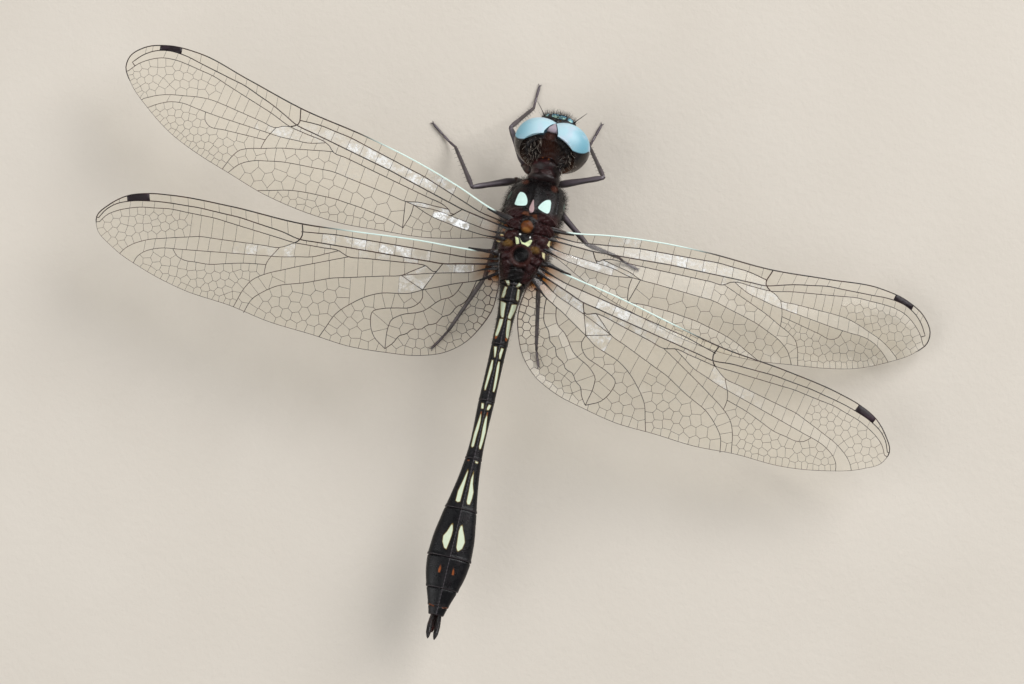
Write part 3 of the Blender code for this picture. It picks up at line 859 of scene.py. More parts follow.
# %% Thorax shell
# Seen from the side, as (y, z): the sutures' paths and the stripes' outlines.
SUTURES = [[(-4.6, 7.2), (-3.7, 4.6), (-3.4, 3.0)], [(-2.6, 8.0), (-1.9, 5.2), (-1.6, 3.0)],
           [(-0.6, 7.8), (0.0, 5.4), (0.4, 3.6)]]
STRIPES = [[(-4.2, 6.9), (-3.75, 7.1), (-2.9, 4.2), (-3.3, 3.6)],
           [(-1.7, 7.3), (-1.2, 7.2), (-0.4, 4.0), (-1.0, 3.8)],
           [(0.5, 7.1), (1.0, 6.9), (1.2, 4.6), (0.6, 4.7)]]
# Each mark's colour and how soft its edge is, in mm; a later mark lies over an earlier one.
THORAX_COLOURS = (
    ("red", "#2E1414", 0.5), ("blotch", "#46251A", 0.14), ("sinus", "#5C331C", 0.05),
    ("amber", "#624720", 0.12), ("ball", "#623515", 0.06), ("ball_low", "#8E6030", 0.08),
    # The dish's floor is painted near black, darker than the shell: painted shade deep in the
    # hollow.
    ("rim", "#341712", 0.1), ("dish", "#050404", 0.12), ("keel", "#B09494", 0.03),
    ("cream", "#D9CFA0", 0.04), ("chevrons", "#D6DFAE", 0.025), ("dots", "#EDEFEA", 0.02),
    ("sides", "#6F8F82", 0.05), ("mint", "#CFECE4", 0.02),
)


def oval(plan, x, y, wide, long):
    """Depth inside an oval, about in mm."""
    reach = np.hypot((plan[:, 0] - x) / wide, (plan[:, 1] - y) / long)
    return (1 - reach) * min(wide, long)


def red_depth(plan):
    """The red-brown hind half of the back, held off the middle."""
    return smooth_step(plan[:, 1], -3.1, -2.2) - 0.5 - 1.2 * np.exp(-(plan[:, 0] / 0.6) ** 4)


def thorax_marks(plan, side_view, up):
    """How deep each point lies inside every mark, in mm."""
    depths = {
        "mint": mark_depth(plan, [rounded(spot, 1) for spot in MINT]),
        "keel": mark_depth(plan, [rounded(KEEL, 1)]),
        "sinus": mark_depth(plan, SINUS),
        "ball": oval(plan, *BALL, 0.46, 0.43),
        "ball_low": oval(plan, 0.02, -1.1, 0.3, 0.16),
        "dots": np.maximum(*(oval(plan, x, y, 0.08, 0.08) for x, y in DOTS)),
        "chevrons": mark_depth(plan, CHEVRONS),
        "amber": np.maximum(*(oval(plan, *spot) for spot in AMBER)),
        "blotch": np.maximum(*(oval(plan, *spot) for spot in BLOTCHES)),
        "rim": DISH_RIM[2] - np.hypot(plan[:, 0] - DISH_RIM[0], plan[:, 1] - DISH_RIM[1]),
        "dish": DISH_FLOOR[2] - np.hypot(plan[:, 0] - DISH_FLOOR[0], plan[:, 1] - DISH_FLOOR[1]),
        "cream": mark_depth(plan, CREAM),
        "red": red_depth(plan),
    }
    values = {mark: np.where(up > 0.45, depth, -1.0) for mark, depth in depths.items()}
    stripes = mark_depth(side_view, [rounded(stripe) for stripe in STRIPES])
    values["sides"] = np.where((up < 0.6) & (up > -0.75), stripes, -1.0)
    return values


def make_thorax():
    """The thorax's skin, with its relief, sutures and marks."""
    points, faces, up = tunnel(THORAX_ROWS, THORAX_MIDDLE, 3.3, 190, 200)
    plan = points[:, :2].copy()
    points[:, 2] += smooth_step(up, 0.35, 0.8) * thorax_relief(plan)
    side_view = points[:, 1:].copy()
    for path in SUTURES:
        dent = crease(side_view, path, 0.08, 0.07) * (up < 0.75)
        points[:, 0] -= np.sign(points[:, 0] + 0.2) * dent
    finish = shell("thorax", "#0B0808", "#180D0D", THORAX_COLOURS, 0.3, 0.07, 0.016, gloss=0.17)
    values = thorax_marks(plan, side_view, up)
    return piece("thorax_box", points, faces, finish, "shell_black", ("thorax",), values)


make_thorax()

# %% [markdown]
# ## Abdomen marks
#
# Ten rings slide in one another like a telescope. Each list below runs along the body: where the
# rings meet, how wide and tall the body is, and where its middle line lies. The marks could be
# mirrored, but on a real animal they differ a little from side to side, so each side has its own
# outlines.

# %% Abdomen marks
JOINTS = (2.72, 3.0, 4.25, 7.55, 11.85, 16.3, 20.15, 23.85, 26.2, 27.5, 28.15)
GIRTH = ((2.7, 0.98, 1.05), (3.5, 0.82, 1.0), (4.9, 0.68, 0.88), (7.8, 0.6, 0.66),
         (11.8, 0.6, 0.6), (15.9, 0.6, 0.58), (17.0, 0.7, 0.6), (19.0, 1.0, 0.68),
         (21.0, 1.37, 0.8), (22.2, 1.57, 0.86), (23.2, 1.63, 0.88), (24.2, 1.62, 0.86),
         (25.0, 1.52, 0.82), (26.0, 1.24, 0.74), (27.0, 0.9, 0.56), (28.1, 0.56, 0.42))
AXIS = ((2.7, 0.0, 6.1), (7.5, -0.05, 6.15), (11.8, -0.07, 5.85), (15.5, -0.1, 5.64),
        (20.1, -0.04, 5.4), (23.8, -0.01, 5.2), (26.2, 0.0, 5.1), (28.1, 0.0, 5.0))
LEFT_MARKS = [
    [(0.61, 2.5), (0.43, 2.5), (0.35, 2.8), (0.26, 3.05), (0.4, 3.1), (0.55, 2.93), (0.68, 2.75)],
    [(0.57, 3.2), (0.38, 3.25), (0.43, 3.5), (0.4, 3.75), (0.47, 4.05), (0.66, 4.05), (0.64, 3.6)],
    [(0.63, 4.3), (0.22, 4.45), (0.2, 4.97), (0.15, 5.53), (0.3, 5.55), (0.42, 5.35), (0.52, 4.9)],
    [(0.41, 5.66), (0.15, 5.64), (0.15, 6.03), (0.21, 6.57), (0.27, 6.93), (0.41, 7.02),
     (0.47, 6.85), (0.43, 6.3)],
    [(0.38, 7.76), (0.12, 7.75), (0.08, 8.1), (0.06, 8.55), (0.17, 8.62), (0.26, 8.23)],
    [(0.3, 8.78), (0.15, 8.78), (0.09, 9.4), (0.12, 10.0), (0.16, 10.6), (0.2, 11.1), (0.33, 11.13),
     (0.37, 10.8), (0.35, 10.0), (0.33, 9.3)],
    [(0.32, 12.06), (0.11, 12.07), (0.04, 12.46), (0.11, 12.52), (0.25, 12.52)],
    [(0.2, 12.86), (0.11, 12.9), (0.04, 13.43), (0.04, 14.0), (0.08, 14.57), (0.1, 15.36),
     (0.22, 15.5), (0.34, 15.38), (0.34, 14.4), (0.27, 13.64)],
    [(0.17, 17.08), (0.09, 17.29), (0.11, 18.07), (0.14, 18.79), (0.17, 19.63), (0.36, 19.72),
     (0.55, 19.63), (0.54, 18.86), (0.36, 18.07), (0.24, 17.43)],
    [(0.36, 21.28), (0.24, 21.79), (0.24, 22.21), (0.31, 22.79), (0.39, 23.31), (0.58, 23.23),
     (0.8, 22.79), (0.84, 22.36), (0.64, 22.0), (0.47, 21.5)],
]
RIGHT_MARKS = [
    [(-0.38, 2.48), (-0.57, 2.6), (-0.61, 2.83), (-0.47, 3.02), (-0.26, 3.1), (-0.22, 3.0),
     (-0.35, 2.85)],
    [(-0.39, 3.18), (-0.57, 3.22), (-0.62, 3.57), (-0.68, 3.9), (-0.6, 4.07), (-0.46, 4.0),
     (-0.42, 3.7)],
    [(-0.22, 4.45), (-0.61, 4.32), (-0.6, 4.7), (-0.5, 5.17), (-0.39, 5.52), (-0.2, 5.53),
     (-0.14, 5.43), (-0.19, 4.97)],
    [(-0.17, 5.63), (-0.44, 5.62), (-0.5, 6.03), (-0.56, 6.83), (-0.5, 7.02), (-0.35, 6.9),
     (-0.27, 6.57), (-0.21, 6.03)],
    [(-0.19, 7.76), (-0.42, 7.77), (-0.39, 8.1), (-0.35, 8.62), (-0.21, 8.62), (-0.12, 8.23)],
    [(-0.2, 8.78), (-0.35, 8.78), (-0.41, 9.2), (-0.47, 10.0), (-0.49, 10.7), (-0.46, 11.1),
     (-0.3, 11.1), (-0.24, 10.2), (-0.17, 9.2)],
    [(-0.24, 12.06), (-0.48, 12.07), (-0.42, 12.36), (-0.35, 12.52), (-0.18, 12.55),
     (-0.16, 12.36)],
    [(-0.28, 12.78), (-0.38, 13.0), (-0.45, 13.57), (-0.52, 14.14), (-0.5, 14.86), (-0.45, 15.45),
     (-0.31, 15.51), (-0.23, 15.29), (-0.23, 14.57), (-0.19, 13.9), (-0.2, 13.2)],
    [(-0.2, 16.38), (-0.5, 16.42), (-0.46, 16.58), (-0.24, 16.57)],
    [(-0.29, 17.07), (-0.37, 17.5), (-0.47, 18.14), (-0.65, 18.7), (-0.65, 19.2), (-0.58, 19.7),
     (-0.36, 19.72), (-0.26, 19.5), (-0.24, 18.7), (-0.2, 17.8)],
    [(-0.36, 21.25), (-0.5, 21.64), (-0.7, 22.07), (-0.84, 22.5), (-0.75, 23.0), (-0.46, 23.31),
     (-0.3, 23.0), (-0.25, 22.36), (-0.2, 21.79), (-0.25, 21.4)],
]
ORANGE_MARKS = [
    [(0.54, 24.4), (0.43, 24.79), (0.46, 25.1), (0.62, 25.08), (0.63, 24.86)],
    [(-0.43, 24.4), (-0.57, 24.79), (-0.6, 25.04), (-0.42, 25.08), (-0.41, 24.79)],
    [(0.47, 6.95), (0.25, 6.98), (0.32, 7.2), (0.42, 7.2)],
    [(-0.3, 6.98), (-0.52, 6.95), (-0.48, 7.2), (-0.36, 7.2)],
    [(0.2, 12.7), (0.12, 12.7), (0.08, 13.1), (0.2, 13.1)],
    [(-0.26, 12.65), (-0.34, 12.65), (-0.38, 13.1), (-0.24, 13.1)],
    [(0.2, 16.42), (0.36, 16.44), (0.34, 16.52), (0.2, 16.5)],
    [(0.3, 27.5), (0.7, 27.42), (0.7, 27.5), (0.3, 27.58)],
    [(-0.3, 27.5), (-0.7, 27.42), (-0.7, 27.5), (-0.3, 27.58)],
]
CROSS_KEELS = (3.13, 5.6, 8.7)
print("abdomen", round(JOINTS[-1] - JOINTS[0], 2), "mm long")

# %% [markdown]
# ## Abdomen rings
#
# Each hind rim flares a little over the next ring's front, which is tucked in under it. One long
# tube could carry bumps instead, but its joints would look soft; separate rings make them real
# steps. A fine keel runs along the back and a seam along the belly.

# %% Abdomen rings
# Above 2, a ring's section is squarer than an oval.
RING_SQUARE = 2.2


def split(rows):
    """Places, and the rows of values at them."""
    rows = np.array(rows)
    return rows[:, 0], rows[:, 1:]


def ring_scale(y, start, end):
    """How a ring's girth changes along it: tucked in at its front, flared at its hind rim."""
    tuck = 0.9 + 0.1 * smooth_step(y, start - 0.1, start + 0.12)
    flare = 1 + 0.035 * smooth_step(y, end - 0.3, end - 0.04)
    flare -= 0.03 * smooth_step(y, end - 0.06, end)
    t = np.clip((y - start) / (end - start), 0, 1)
    slack = 1 - 0.015 * np.sin(np.pi * t) * (end - start > 2)
    cross = 1 + 0.03 * sum(np.exp(-((y - place) / 0.04) ** 2) for place in CROSS_KEELS)
    return tuck * flare * slack * cross


def ring_marks(number, end, points, middle, up, along):
    """How deep each point of a ring lies inside every mark, in mm."""
    plan, top = points[:, :2], up > 0.1
    pale = mark_depth(plan, LEFT_MARKS + RIGHT_MARKS) - (0.04 if 4 <= number <= 6 else 0.02)
    dash = 0.5 + 0.5 * np.sin(points[:, 1] * 24)
    flank = (np.abs(up + 0.1) < 0.35) & (number < 8)
    lateral = np.where((along > 0.12) & (along < 0.55), 0.05, -0.2)
    return {
        "halo": np.where(top, pale + 0.035, -1.0), "pale": np.where(top, pale, -1.0),
        "orange": np.where(top, mark_depth(plan, ORANGE_MARKS) - 0.015, -1.0),
        "keel": np.where(top, 0.035 - np.abs(points[:, 0] - middle) - 0.025 * dash, -1.0),
        "flank": np.where(flank, lateral, -1.0),
        "rim": 0.03 - np.abs(points[:, 1] - end + 0.05),
    }


def make_ring(number, start, end, finish):
    """One ring: a neck tucked into the ring before it, then a body that ends in a flared rim."""
    steps, sides = max(12, round((end - start) / 0.05)), 112
    y = np.linspace(start - (0.16 if number > 1 else 0.0), end - 0.02, steps)
    wide, tall = (cubic(*split(GIRTH), y) * ring_scale(y, start, end)[:, None]).T
    centre_x, centre_z = cubic(*split(AXIS), y).T
    along = (y - start) / (end - start)
    turn = np.linspace(0, 2 * np.pi, sides, endpoint=False)
    across = np.sign(np.cos(turn)) * np.abs(np.cos(turn)) ** (2 / RING_SQUARE)
    up = np.sign(np.sin(turn)) * np.abs(np.sin(turn)) ** (2 / RING_SQUARE)
    keel = 0.035 * np.exp(-(np.cos(turn) / 0.07) ** 2) * (up > 0)
    seam = -0.05 * np.exp(-(np.cos(turn) / 0.2) ** 2) * (up < 0)
    x = centre_x[:, None] + wide[:, None] * across
    z = centre_z[:, None] + tall[:, None] * up + (keel + seam) * (along[:, None] > 0.02)
    points = np.stack([x, np.repeat(y[:, None], sides, 1), z], -1).reshape(-1, 3)
    values = ring_marks(number, end, points, np.repeat(centre_x, sides), np.tile(up, steps),
                        np.repeat(along, sides))
    name = f"abdomen_{number:02d}"
    return piece(f"ring_{number:02d}", points, tube_faces(steps, sides), finish,
                 "shell_black", (name,), values)


ABDOMEN_COLOURS = (("flank", "#3B2A20", 0.1), ("keel", "#4A4548", 0.02), ("rim", "#3C3436", 0.02),
                   ("orange", "#944E22", 0.05), ("halo", "#8A7440", 0.03),
                   ("pale", "#D5DFC4", 0.02))
RING = shell("abdomen", "#0B0A0C", "#151012", ABDOMEN_COLOURS, 0.32, 0.06, 0.01, gloss=0.2)
for number, (start, end) in enumerate(zip(JOINTS, JOINTS[1:]), 1):
    make_ring(number, start, end, RING)

# %% [markdown]
# ## Claspers
#
# The tail ends in two claspers, like slim bent fingers, over one short plate. With them the male
# holds the female behind her head, so they are stout in the middle and taper at both ends. A
# bevelled curve could draw them, but a tube of rings swells just where it should.

# %% Claspers
def make_clasper(side):
    """One bent finger, stout in the middle, from the last ring to its tip."""
    t = np.linspace(0, 1, 26)
    x = side * (0.26 + 0.04 * np.sin(np.pi * t) - 0.02 * t) - 0.02
    y = 28.05 + 1.92 * t
    z = 5.06 - 0.1 * np.sin(np.pi * t) + 0.16 * t ** 3
    radii = np.interp(t, (0, 0.1, 0.45, 0.75, 0.93, 1), (0.12, 0.15, 0.2, 0.19, 0.1, 0.02))
    points, faces = tube(np.stack([x, y, z], 1), radii, 24)
    name = "cercus_left" if side > 0 else "cercus_right"
    return piece(name + "_clasper", points, faces, DARK, "shell_black", (name,))


def make_tail_plate():
    """The short plate under the claspers."""
    t = np.linspace(0, 1, 14)
    path = np.stack([0 * t, 28.0 + 1.4 * t, 4.6 - 0.05 * np.sin(np.pi * t) + 0.1 * t], 1)
    radii = np.interp(t, (0, 0.3, 0.8, 1), (0.2, 0.24, 0.16, 0.05))
    finish = shell("tail_plate", "#241211", "#4A1B14", (), 0.4)
    return piece("tail_plate", *tube(path, radii, 24), finish, "shell_brown", ("epiproct",))


for side in (1, -1):
    make_clasper(side)
make_tail_plate()

# %% [markdown]
# ## Leg finish
#
# Legs are the same cuticle as the shell, but grey-brown, with a faint lilac painted highlight where
# they face the sky and a redder tone below. It could be stored on the points, but one step on the
# way that a face looks does it. Fine lengthwise fibres, some 0.01 mm apart in life, are drawn at
# 0.06 mm.

# %% Leg finish
def leg_finish():
    """Grey-brown cuticle with a faint lilac painted highlight on top, redder below."""
    made, tree, shader = blank_finish("leg")
    facing_up = node(tree, "SeparateXYZ", {0: node(tree, "NewGeometry", out="Normal")}, 2)
    base = paint(tree, "#2A2224", "#463B40", grain(tree, 0.8, 4.0), 0.4, 0.65)
    base = paint(tree, "#4E241A", base, facing_up, -0.5, 0.2)
    fibres = {"Height": grain(tree, 0.06, 3.0, stretch=(1, 1, 0.3)), "Distance": 0.012 * MM}
    feed(tree, shader, {
        # Painted highlight: lilac laid on the faces that look up.
        "Base Color": paint(tree, base, "#867A82", facing_up, 0.55, 1.0, 0.4),
        "Roughness": 0.38, "IOR": CUTICLE_IOR, "Normal": node(tree, "Bump", fibres),
    })
    return made


LEG = leg_finish()
HIP = shell("hip", "#1D1211", "#43231B", (), 0.42)

# %% [markdown]
# ## Leg parts
#
# Six slim legs work as a basket for catching prey, so each shin and thigh carries two rows of
# stiff spines, and each foot ends in a pair of hooked claws. All of them are tapered tubes,
# because spines in the finish would not show against the light.

# %% Leg parts
def segment(start, end, radii, bow=0.0, sides=16, steps=24):
    """A leg length from one joint to the next; radii are spaced evenly along it."""
    start, end = np.array(start), np.array(end)
    t = np.linspace(0, 1, steps)
    path = start + (end - start) * t[:, None]
    path[:, 2] += bow * np.sin(np.pi * t)
    spread = np.linspace(0, 1, len(radii))
    return tube(path, cubic(spread, np.array(radii)[:, None], t)[:, 0], sides)


def spines(start, end, count, length, lean, radius=0.02):
    """Two rows of stiff spines that slant towards the foot."""
    start, end = np.array(start), np.array(end)
    ahead = (end - start) / np.linalg.norm(end - start)
    side = np.cross(ahead, (0, 0, 1))
    side /= np.linalg.norm(side)
    below = np.cross(side, ahead)
    shapes = []
    for row in (1, -1):
        for t in np.linspace(0.15, 0.95, count):
            out = row * 0.85 * side - 0.5 * below * np.sign(below[2]) + lean * ahead
            root = start + (end - start) * t
            tip = root + out / np.linalg.norm(out) * length * RANDOM.uniform(0.8, 1.1)
            middle = (root + tip) / 2 + ahead * 0.04
            shapes.append(tube([root, middle, tip], (radius, radius * 0.7, 0.004), 5))
    return shapes


def claws(toe, ahead):
    """Two hooks that spread from the end of the foot and curl down to the floor."""
    ahead = ahead / np.linalg.norm(ahead)
    side = np.cross(ahead, (0, 0, 1))
    shapes = []
    for row in (1, -1):
        path = [toe + ahead * 0.22 * t + row * side * 0.14 * t + (0, 0, 0.03 - 0.11 * t * t)
                for t in (0, 0.35, 0.7, 1.0)]
        shapes.append(tube(path, (0.045, 0.04, 0.025, 0.006), 8))
    return shapes


foot_claws = claws(np.zeros(3), np.array((0, 1.0, 0)))
print("a foot's claws have", len(gather(foot_claws)[1]), "faces")

# %% [markdown]
# ## Legs
#
# Each leg is a hip, a thigh, a shin and a foot of three small joints. An armature could pose
# them, but a still model only needs a list of where each leg's joints are: where it leaves the
# body, hip, knee, ankle and toe.

# %% Legs
LEGS = {
    "fore_left": ((0.4, -6.45, 4.1), (1.0, -6.9, 3.1), (2.75, -9.28, 4.4), (1.2, -12.0, 0.75),
                  (1.12, -13.9, 0.2)),
    "fore_right": ((-0.95, -5.9, 4.1), (-1.5, -5.95, 3.1), (-4.99, -7.2, 4.3),
                   (-3.62, -10.1, 0.75), (-4.2, -12.1, 0.2)),
    "mid_left": ((0.7, -5.2, 3.3), (1.25, -5.8, 2.6), (4.55, -4.07, 4.5), (6.37, -7.6, 0.75),
                 (8.4, -9.1, 0.2)),
    "mid_right": ((-0.7, -4.7, 3.3), (-1.3, -5.0, 2.55), (-4.91, -1.85, 4.4),
                  (-7.7, -2.2, 0.75), (-9.3, -1.8, 0.2)),
    "hind_left": ((0.75, -3.1, 3.0), (1.45, -3.2, 2.3), (2.1, 2.45, 4.3), (3.72, 6.4, 0.75),
                  (4.6, 7.85, 0.2)),
    "hind_right": ((-0.75, -3.1, 3.0), (-1.45, -3.2, 2.3), (-2.0, 2.1, 4.3), (-3.05, 5.9, 0.75),
                   (-3.6, 7.3, 0.2)),
}


def make_leg(name, joints, finish):
    """Four pieces, one for each solid of the leg."""
    root, hip, knee, ankle, toe = [np.array(joint) for joint in joints]
    heel = ankle + (toe - ankle) * 0.35
    heel[2], toe = 0.13, toe * (1, 1, 0) + (0, 0, 0.11)
    hip_shape = segment(root, hip, (0.36, 0.42, 0.36, 0.24), steps=16)
    trochanter = segment(hip, hip + (knee - hip) * 0.07, (0.24, 0.27, 0.22), steps=8)
    piece("hip_" + name, *gather([hip_shape, trochanter]), HIP, "shell_brown", ("coxa_" + name,))
    thigh = [segment(hip + (knee - hip) * 0.05, knee, (0.2, 0.3, 0.28, 0.24, 0.22, 0.22, 0.15))]
    thigh += spines(hip, knee, 11, 0.28, 0.5)
    piece("thigh_" + name, *gather(thigh), finish, "leg", ("femur_" + name,))
    shin = [segment(knee, ankle, (0.13, 0.19, 0.17, 0.155, 0.15, 0.145, 0.12), 0.04)]
    shin += spines(knee, ankle, 9, 0.5, 0.7)
    piece("shin_" + name, *gather(shin), finish, "leg", ("tibia_" + name,))
    joints = [ankle, ankle + (heel - ankle) * 0.75, heel + (toe - heel) * 0.3, toe]
    foot = [segment(a, b, (0.08, 0.1, 0.1, 0.105, 0.07), steps=10)
            for a, b in zip(joints, joints[1:])]
    foot += claws(toe, toe - joints[-2])
    foot += spines(joints[1], toe, 7, 0.16, 0.8, 0.012)
    piece("foot_" + name, *gather(foot), finish, "leg", ("tarsus_" + name,))


for name, joints in LEGS.items():
    make_leg(name, joints, LEG)

# %% [markdown]
# ## Wing plan
#
# A wing is a clear sheet on a net of veins. The long veins fold it like a fan, so some ride
# high and some low. Their names are short for the anatomist's: sc and r run along the front, m
# and a behind, nod is the notch halfway along. x runs out from the hinge and y forwards.

# %% Wing plan
FOREWING_EDGE = (
    (-0.6, 0.45), (1.2, 0.62), (4.4, 1.25), (8.1, 1.75), (12.0, 2.0), (17.4, 2.05),
    (22.0, 2.52), (26.2, 2.9), (28.6, 2.5), (30.1, 1.7), (30.85, 0.6), (30.8, -0.2),
    (30.0, -1.15), (28.0, -2.45), (25.6, -3.55), (23.0, -4.2), (20.4, -4.6), (17.5, -5.02),
    (14.2, -5.08), (11.0, -4.75), (8.4, -4.15), (5.0, -3.3), (2.6, -2.35), (0.8, -1.55),
    (-0.6, -1.1),
)
FOREWING_VEINS = {
    "sc": [(-0.5, 0.1), (2, 0.13), (6.9, 0.94), (13.1, 1.48), (15.5, 1.46), (17.2, 1.2)],
    "r": [(-0.5, -0.25), (3.3, -0.25), (9.5, 0.34), (17.2, 0.76), (19.45, 1.44), (22, 1.98),
        (27, 2.33), (28.6, 2.1), (29.3, 1.75), (30, 1.1), (30.5, 0.3)],
    "nod": [(17.45, 2.03), (17.2, 0.8), (17.6, 0.5)],
    "arc": [(3.35, -0.32), (3.9, -0.98)],
    "rp": [(3.75, -0.8), (3.9, -0.87), (4.25, -0.63), (4.8, -0.46), (14, 0), (14.3, 0.25),
        (14.7, 0.39), (17.65, 0.47), (19.4, 0.87), (24.5, 1.74), (26.6, 1.79), (27.65, 1.74),
        (28.6, 1.5), (29.4, 1), (30.1, 0.3), (30.5, -0.4)],
    "rp3": [(13.9, 0), (17.65, -1.32), (20, -2.39), (20.4, -2.68), (20.7, -3.26), (20.97, -4.37)],
    "ir2": [(14.75, 0.35), (15.9, -0.16), (18, -0.55), (23, -0.97), (25.9, -1.1), (26.6, -1.32),
        (27.4, -1.84), (28, -2.4)],
    "rp2": [(17.65, 0.47), (18.1, 0.32), (18.6, -0.03), (22.9, 0.04), (24, 0), (25, -0.21),
        (26.9, -0.84), (27.8, -1.3), (28.6, -1.9)],
    "obl": [(18.6, -0.05), (18.95, -1.2), (19, -1.85)],
    "rsp": [(18.95, -1.2), (23.2, -1.9), (23.7, -1.6), (23.9, -1.05)],
    "m": [(-0.5, -0.65), (1, -0.9), (5, -1.05), (6.77, -1.37), (7.45, -1.35)],
    "ma": [(4.25, -0.63), (6.5, -1.03), (7.45, -1.35), (13.3, -1.43), (16.1, -2), (17.3, -2.3),
        (19, -2.95), (20, -3.7), (20.5, -4.6)],
    "trp": [(6.77, -1.37), (6.68, -2), (6.83, -3.25)],
    "trd": [(7.45, -1.35), (6.85, -3.3)],
    "cup": [(6.83, -3.25), (8.2, -3.1), (10.4, -3.1), (12.45, -3.26), (14.3, -3.6), (15.9, -4.05),
        (17.9, -4.95)],
    "a": [(-0.4, -1.1), (1.1, -1.45), (3, -1.64), (5, -1.66), (6.77, -1.37)],
}
HINDWING_EDGE = (
    (-0.7, 0.4), (1.1, 0.42), (5.6, 0.68), (10.3, 0.76), (14.1, 0.86), (19.5, 1.52),
    (24.0, 1.82), (25.7, 1.75), (27.3, 1.38), (28.5, 0.6), (29.35, -0.45), (29.2, -1.35),
    (28.0, -2.5), (25.4, -3.95), (22.2, -5.15), (18.6, -5.9), (15.7, -6.72), (12.4, -7.3),
    (9.5, -7.85), (6.8, -7.98), (4.3, -7.92), (2.4, -7.45), (0.9, -6.45), (-0.05, -5.2),
    (-0.7, -3.9), (-0.92, -2.6), (-0.96, -1.4), (-0.8, -0.6),
)
HINDWING_VEINS = {
    "sc": [(-0.6, 0), (1.5, -0.13), (11.5, 0.36), (14.1, 0.28)],
    "r": [(-0.6, -0.4), (3.3, -0.86), (14.1, -0.32), (15.6, 0.12), (18.8, 0.78), (21.8, 1.13),
        (24, 1.23), (25.6, 1.2), (27.1, 1), (28, 0.7), (28.7, 0.2), (29.2, -0.5)],
    "nod": [(14.1, 0.86), (14, 0), (14.15, -0.35), (14.5, -0.62)],
    "arc": [(3.35, -0.87), (3.85, -1.6)],
    "rp": [(3.72, -1.45), (3.9, -1.5), (4.6, -1.15), (5.2, -1.08), (10.45, -1.15), (11.2, -0.8),
        (14.5, -0.6), (20.7, 0.52), (24, 0.8), (26.2, 0.67), (27, 0.5), (27.9, 0.2), (28.6, -0.2),
        (29.1, -0.8)],
    "rp3": [(10.3, -1.15), (14.2, -2.42), (16.1, -3.1), (16.9, -3.5), (17.4, -3.9), (17.8, -4.5),
        (18.4, -5.95)],
    "ir2": [(11.1, -0.8), (13, -1.5), (15.4, -1.8), (24.2, -2.2), (25, -2.4), (25.6, -2.7),
        (26, -3.1), (26.2, -3.6)],
    "rp2": [(14.5, -0.62), (15.6, -1.1), (21.6, -1), (23.4, -1.3), (25.2, -1.65), (25.9, -1.9),
        (26.5, -2.2), (27, -2.6), (27.3, -3)],
    "obl": [(15.6, -1.15), (16.4, -2.5), (16.45, -3.2)],
    "rsp": [(16.4, -2.5), (18.1, -2.6), (20.7, -3), (22.5, -2.9), (23, -2.7), (23.4, -2.2)],
    "ma": [(4.6, -1.15), (6.3, -2.1), (11.5, -2.95), (13.3, -3.5), (15.1, -3.9), (16.4, -4.6),
        (17.1, -5.2), (17.6, -6.3)],
    "trt": [(3.85, -1.6), (6.3, -2.1)],
    "trp": [(3.85, -1.6), (4.6, -3)],
    "trd": [(4.6, -3), (6.3, -2.1)],
    "m": [(-0.7, -0.75), (-0.1, -0.8), (1.4, -1.25), (3.85, -1.6)],
    "a": [(-0.8, -1.1), (0.7, -1.85), (1.8, -2.1), (4.6, -3)],
    "cua": [(4.6, -3), (5.6, -3.38), (7.6, -3.6), (8.6, -3.95), (9.6, -4.55), (10.9, -5.7),
        (11.8, -7.4)],
    "lpf": [(4.6, -3), (4.55, -3.65), (4.9, -4.15), (5.3, -4.4), (7.4, -4.75), (8.1, -5.05),
        (8.15, -5.9), (7.8, -6.85), (6.85, -7.7)],
    "lpm": [(1.7, -2.1), (2.05, -2.8), (2.4, -3.2), (3.1, -3.5), (4.4, -4.55), (6.1, -5.1),
        (6.65, -5.5), (6.8, -6), (6.85, -7.7)],
    "lpr": [(0.7, -1.85), (0.9, -2.5), (1.5, -3.65), (1.9, -3.9), (2.4, -4.6), (2.9, -4.8),
        (3.3, -5.35), (4, -5.6), (4.3, -5.9), (5, -6), (5.4, -6.4), (5.9, -6.6), (6.3, -7.2),
        (6.85, -7.7)],
}
for veins in (FOREWING_VEINS, HINDWING_VEINS):
    print(len(veins), "long veins from", sum(map(len, veins.values())), "points")

# %% [markdown]
# ## Filling the plan
#
# Each region between long veins is named by one point inside it. A strip takes a ladder: the
# x of each rung, then how far the rungs slant. A wide region takes a honeycomb of a given cell
# size. So a whole wing's net is written down without placing its cells one by one.

# %% Filling the plan
def rungs(first, last, gap):
    """Evenly spaced rungs."""
    return tuple(np.arange(first, last, gap))


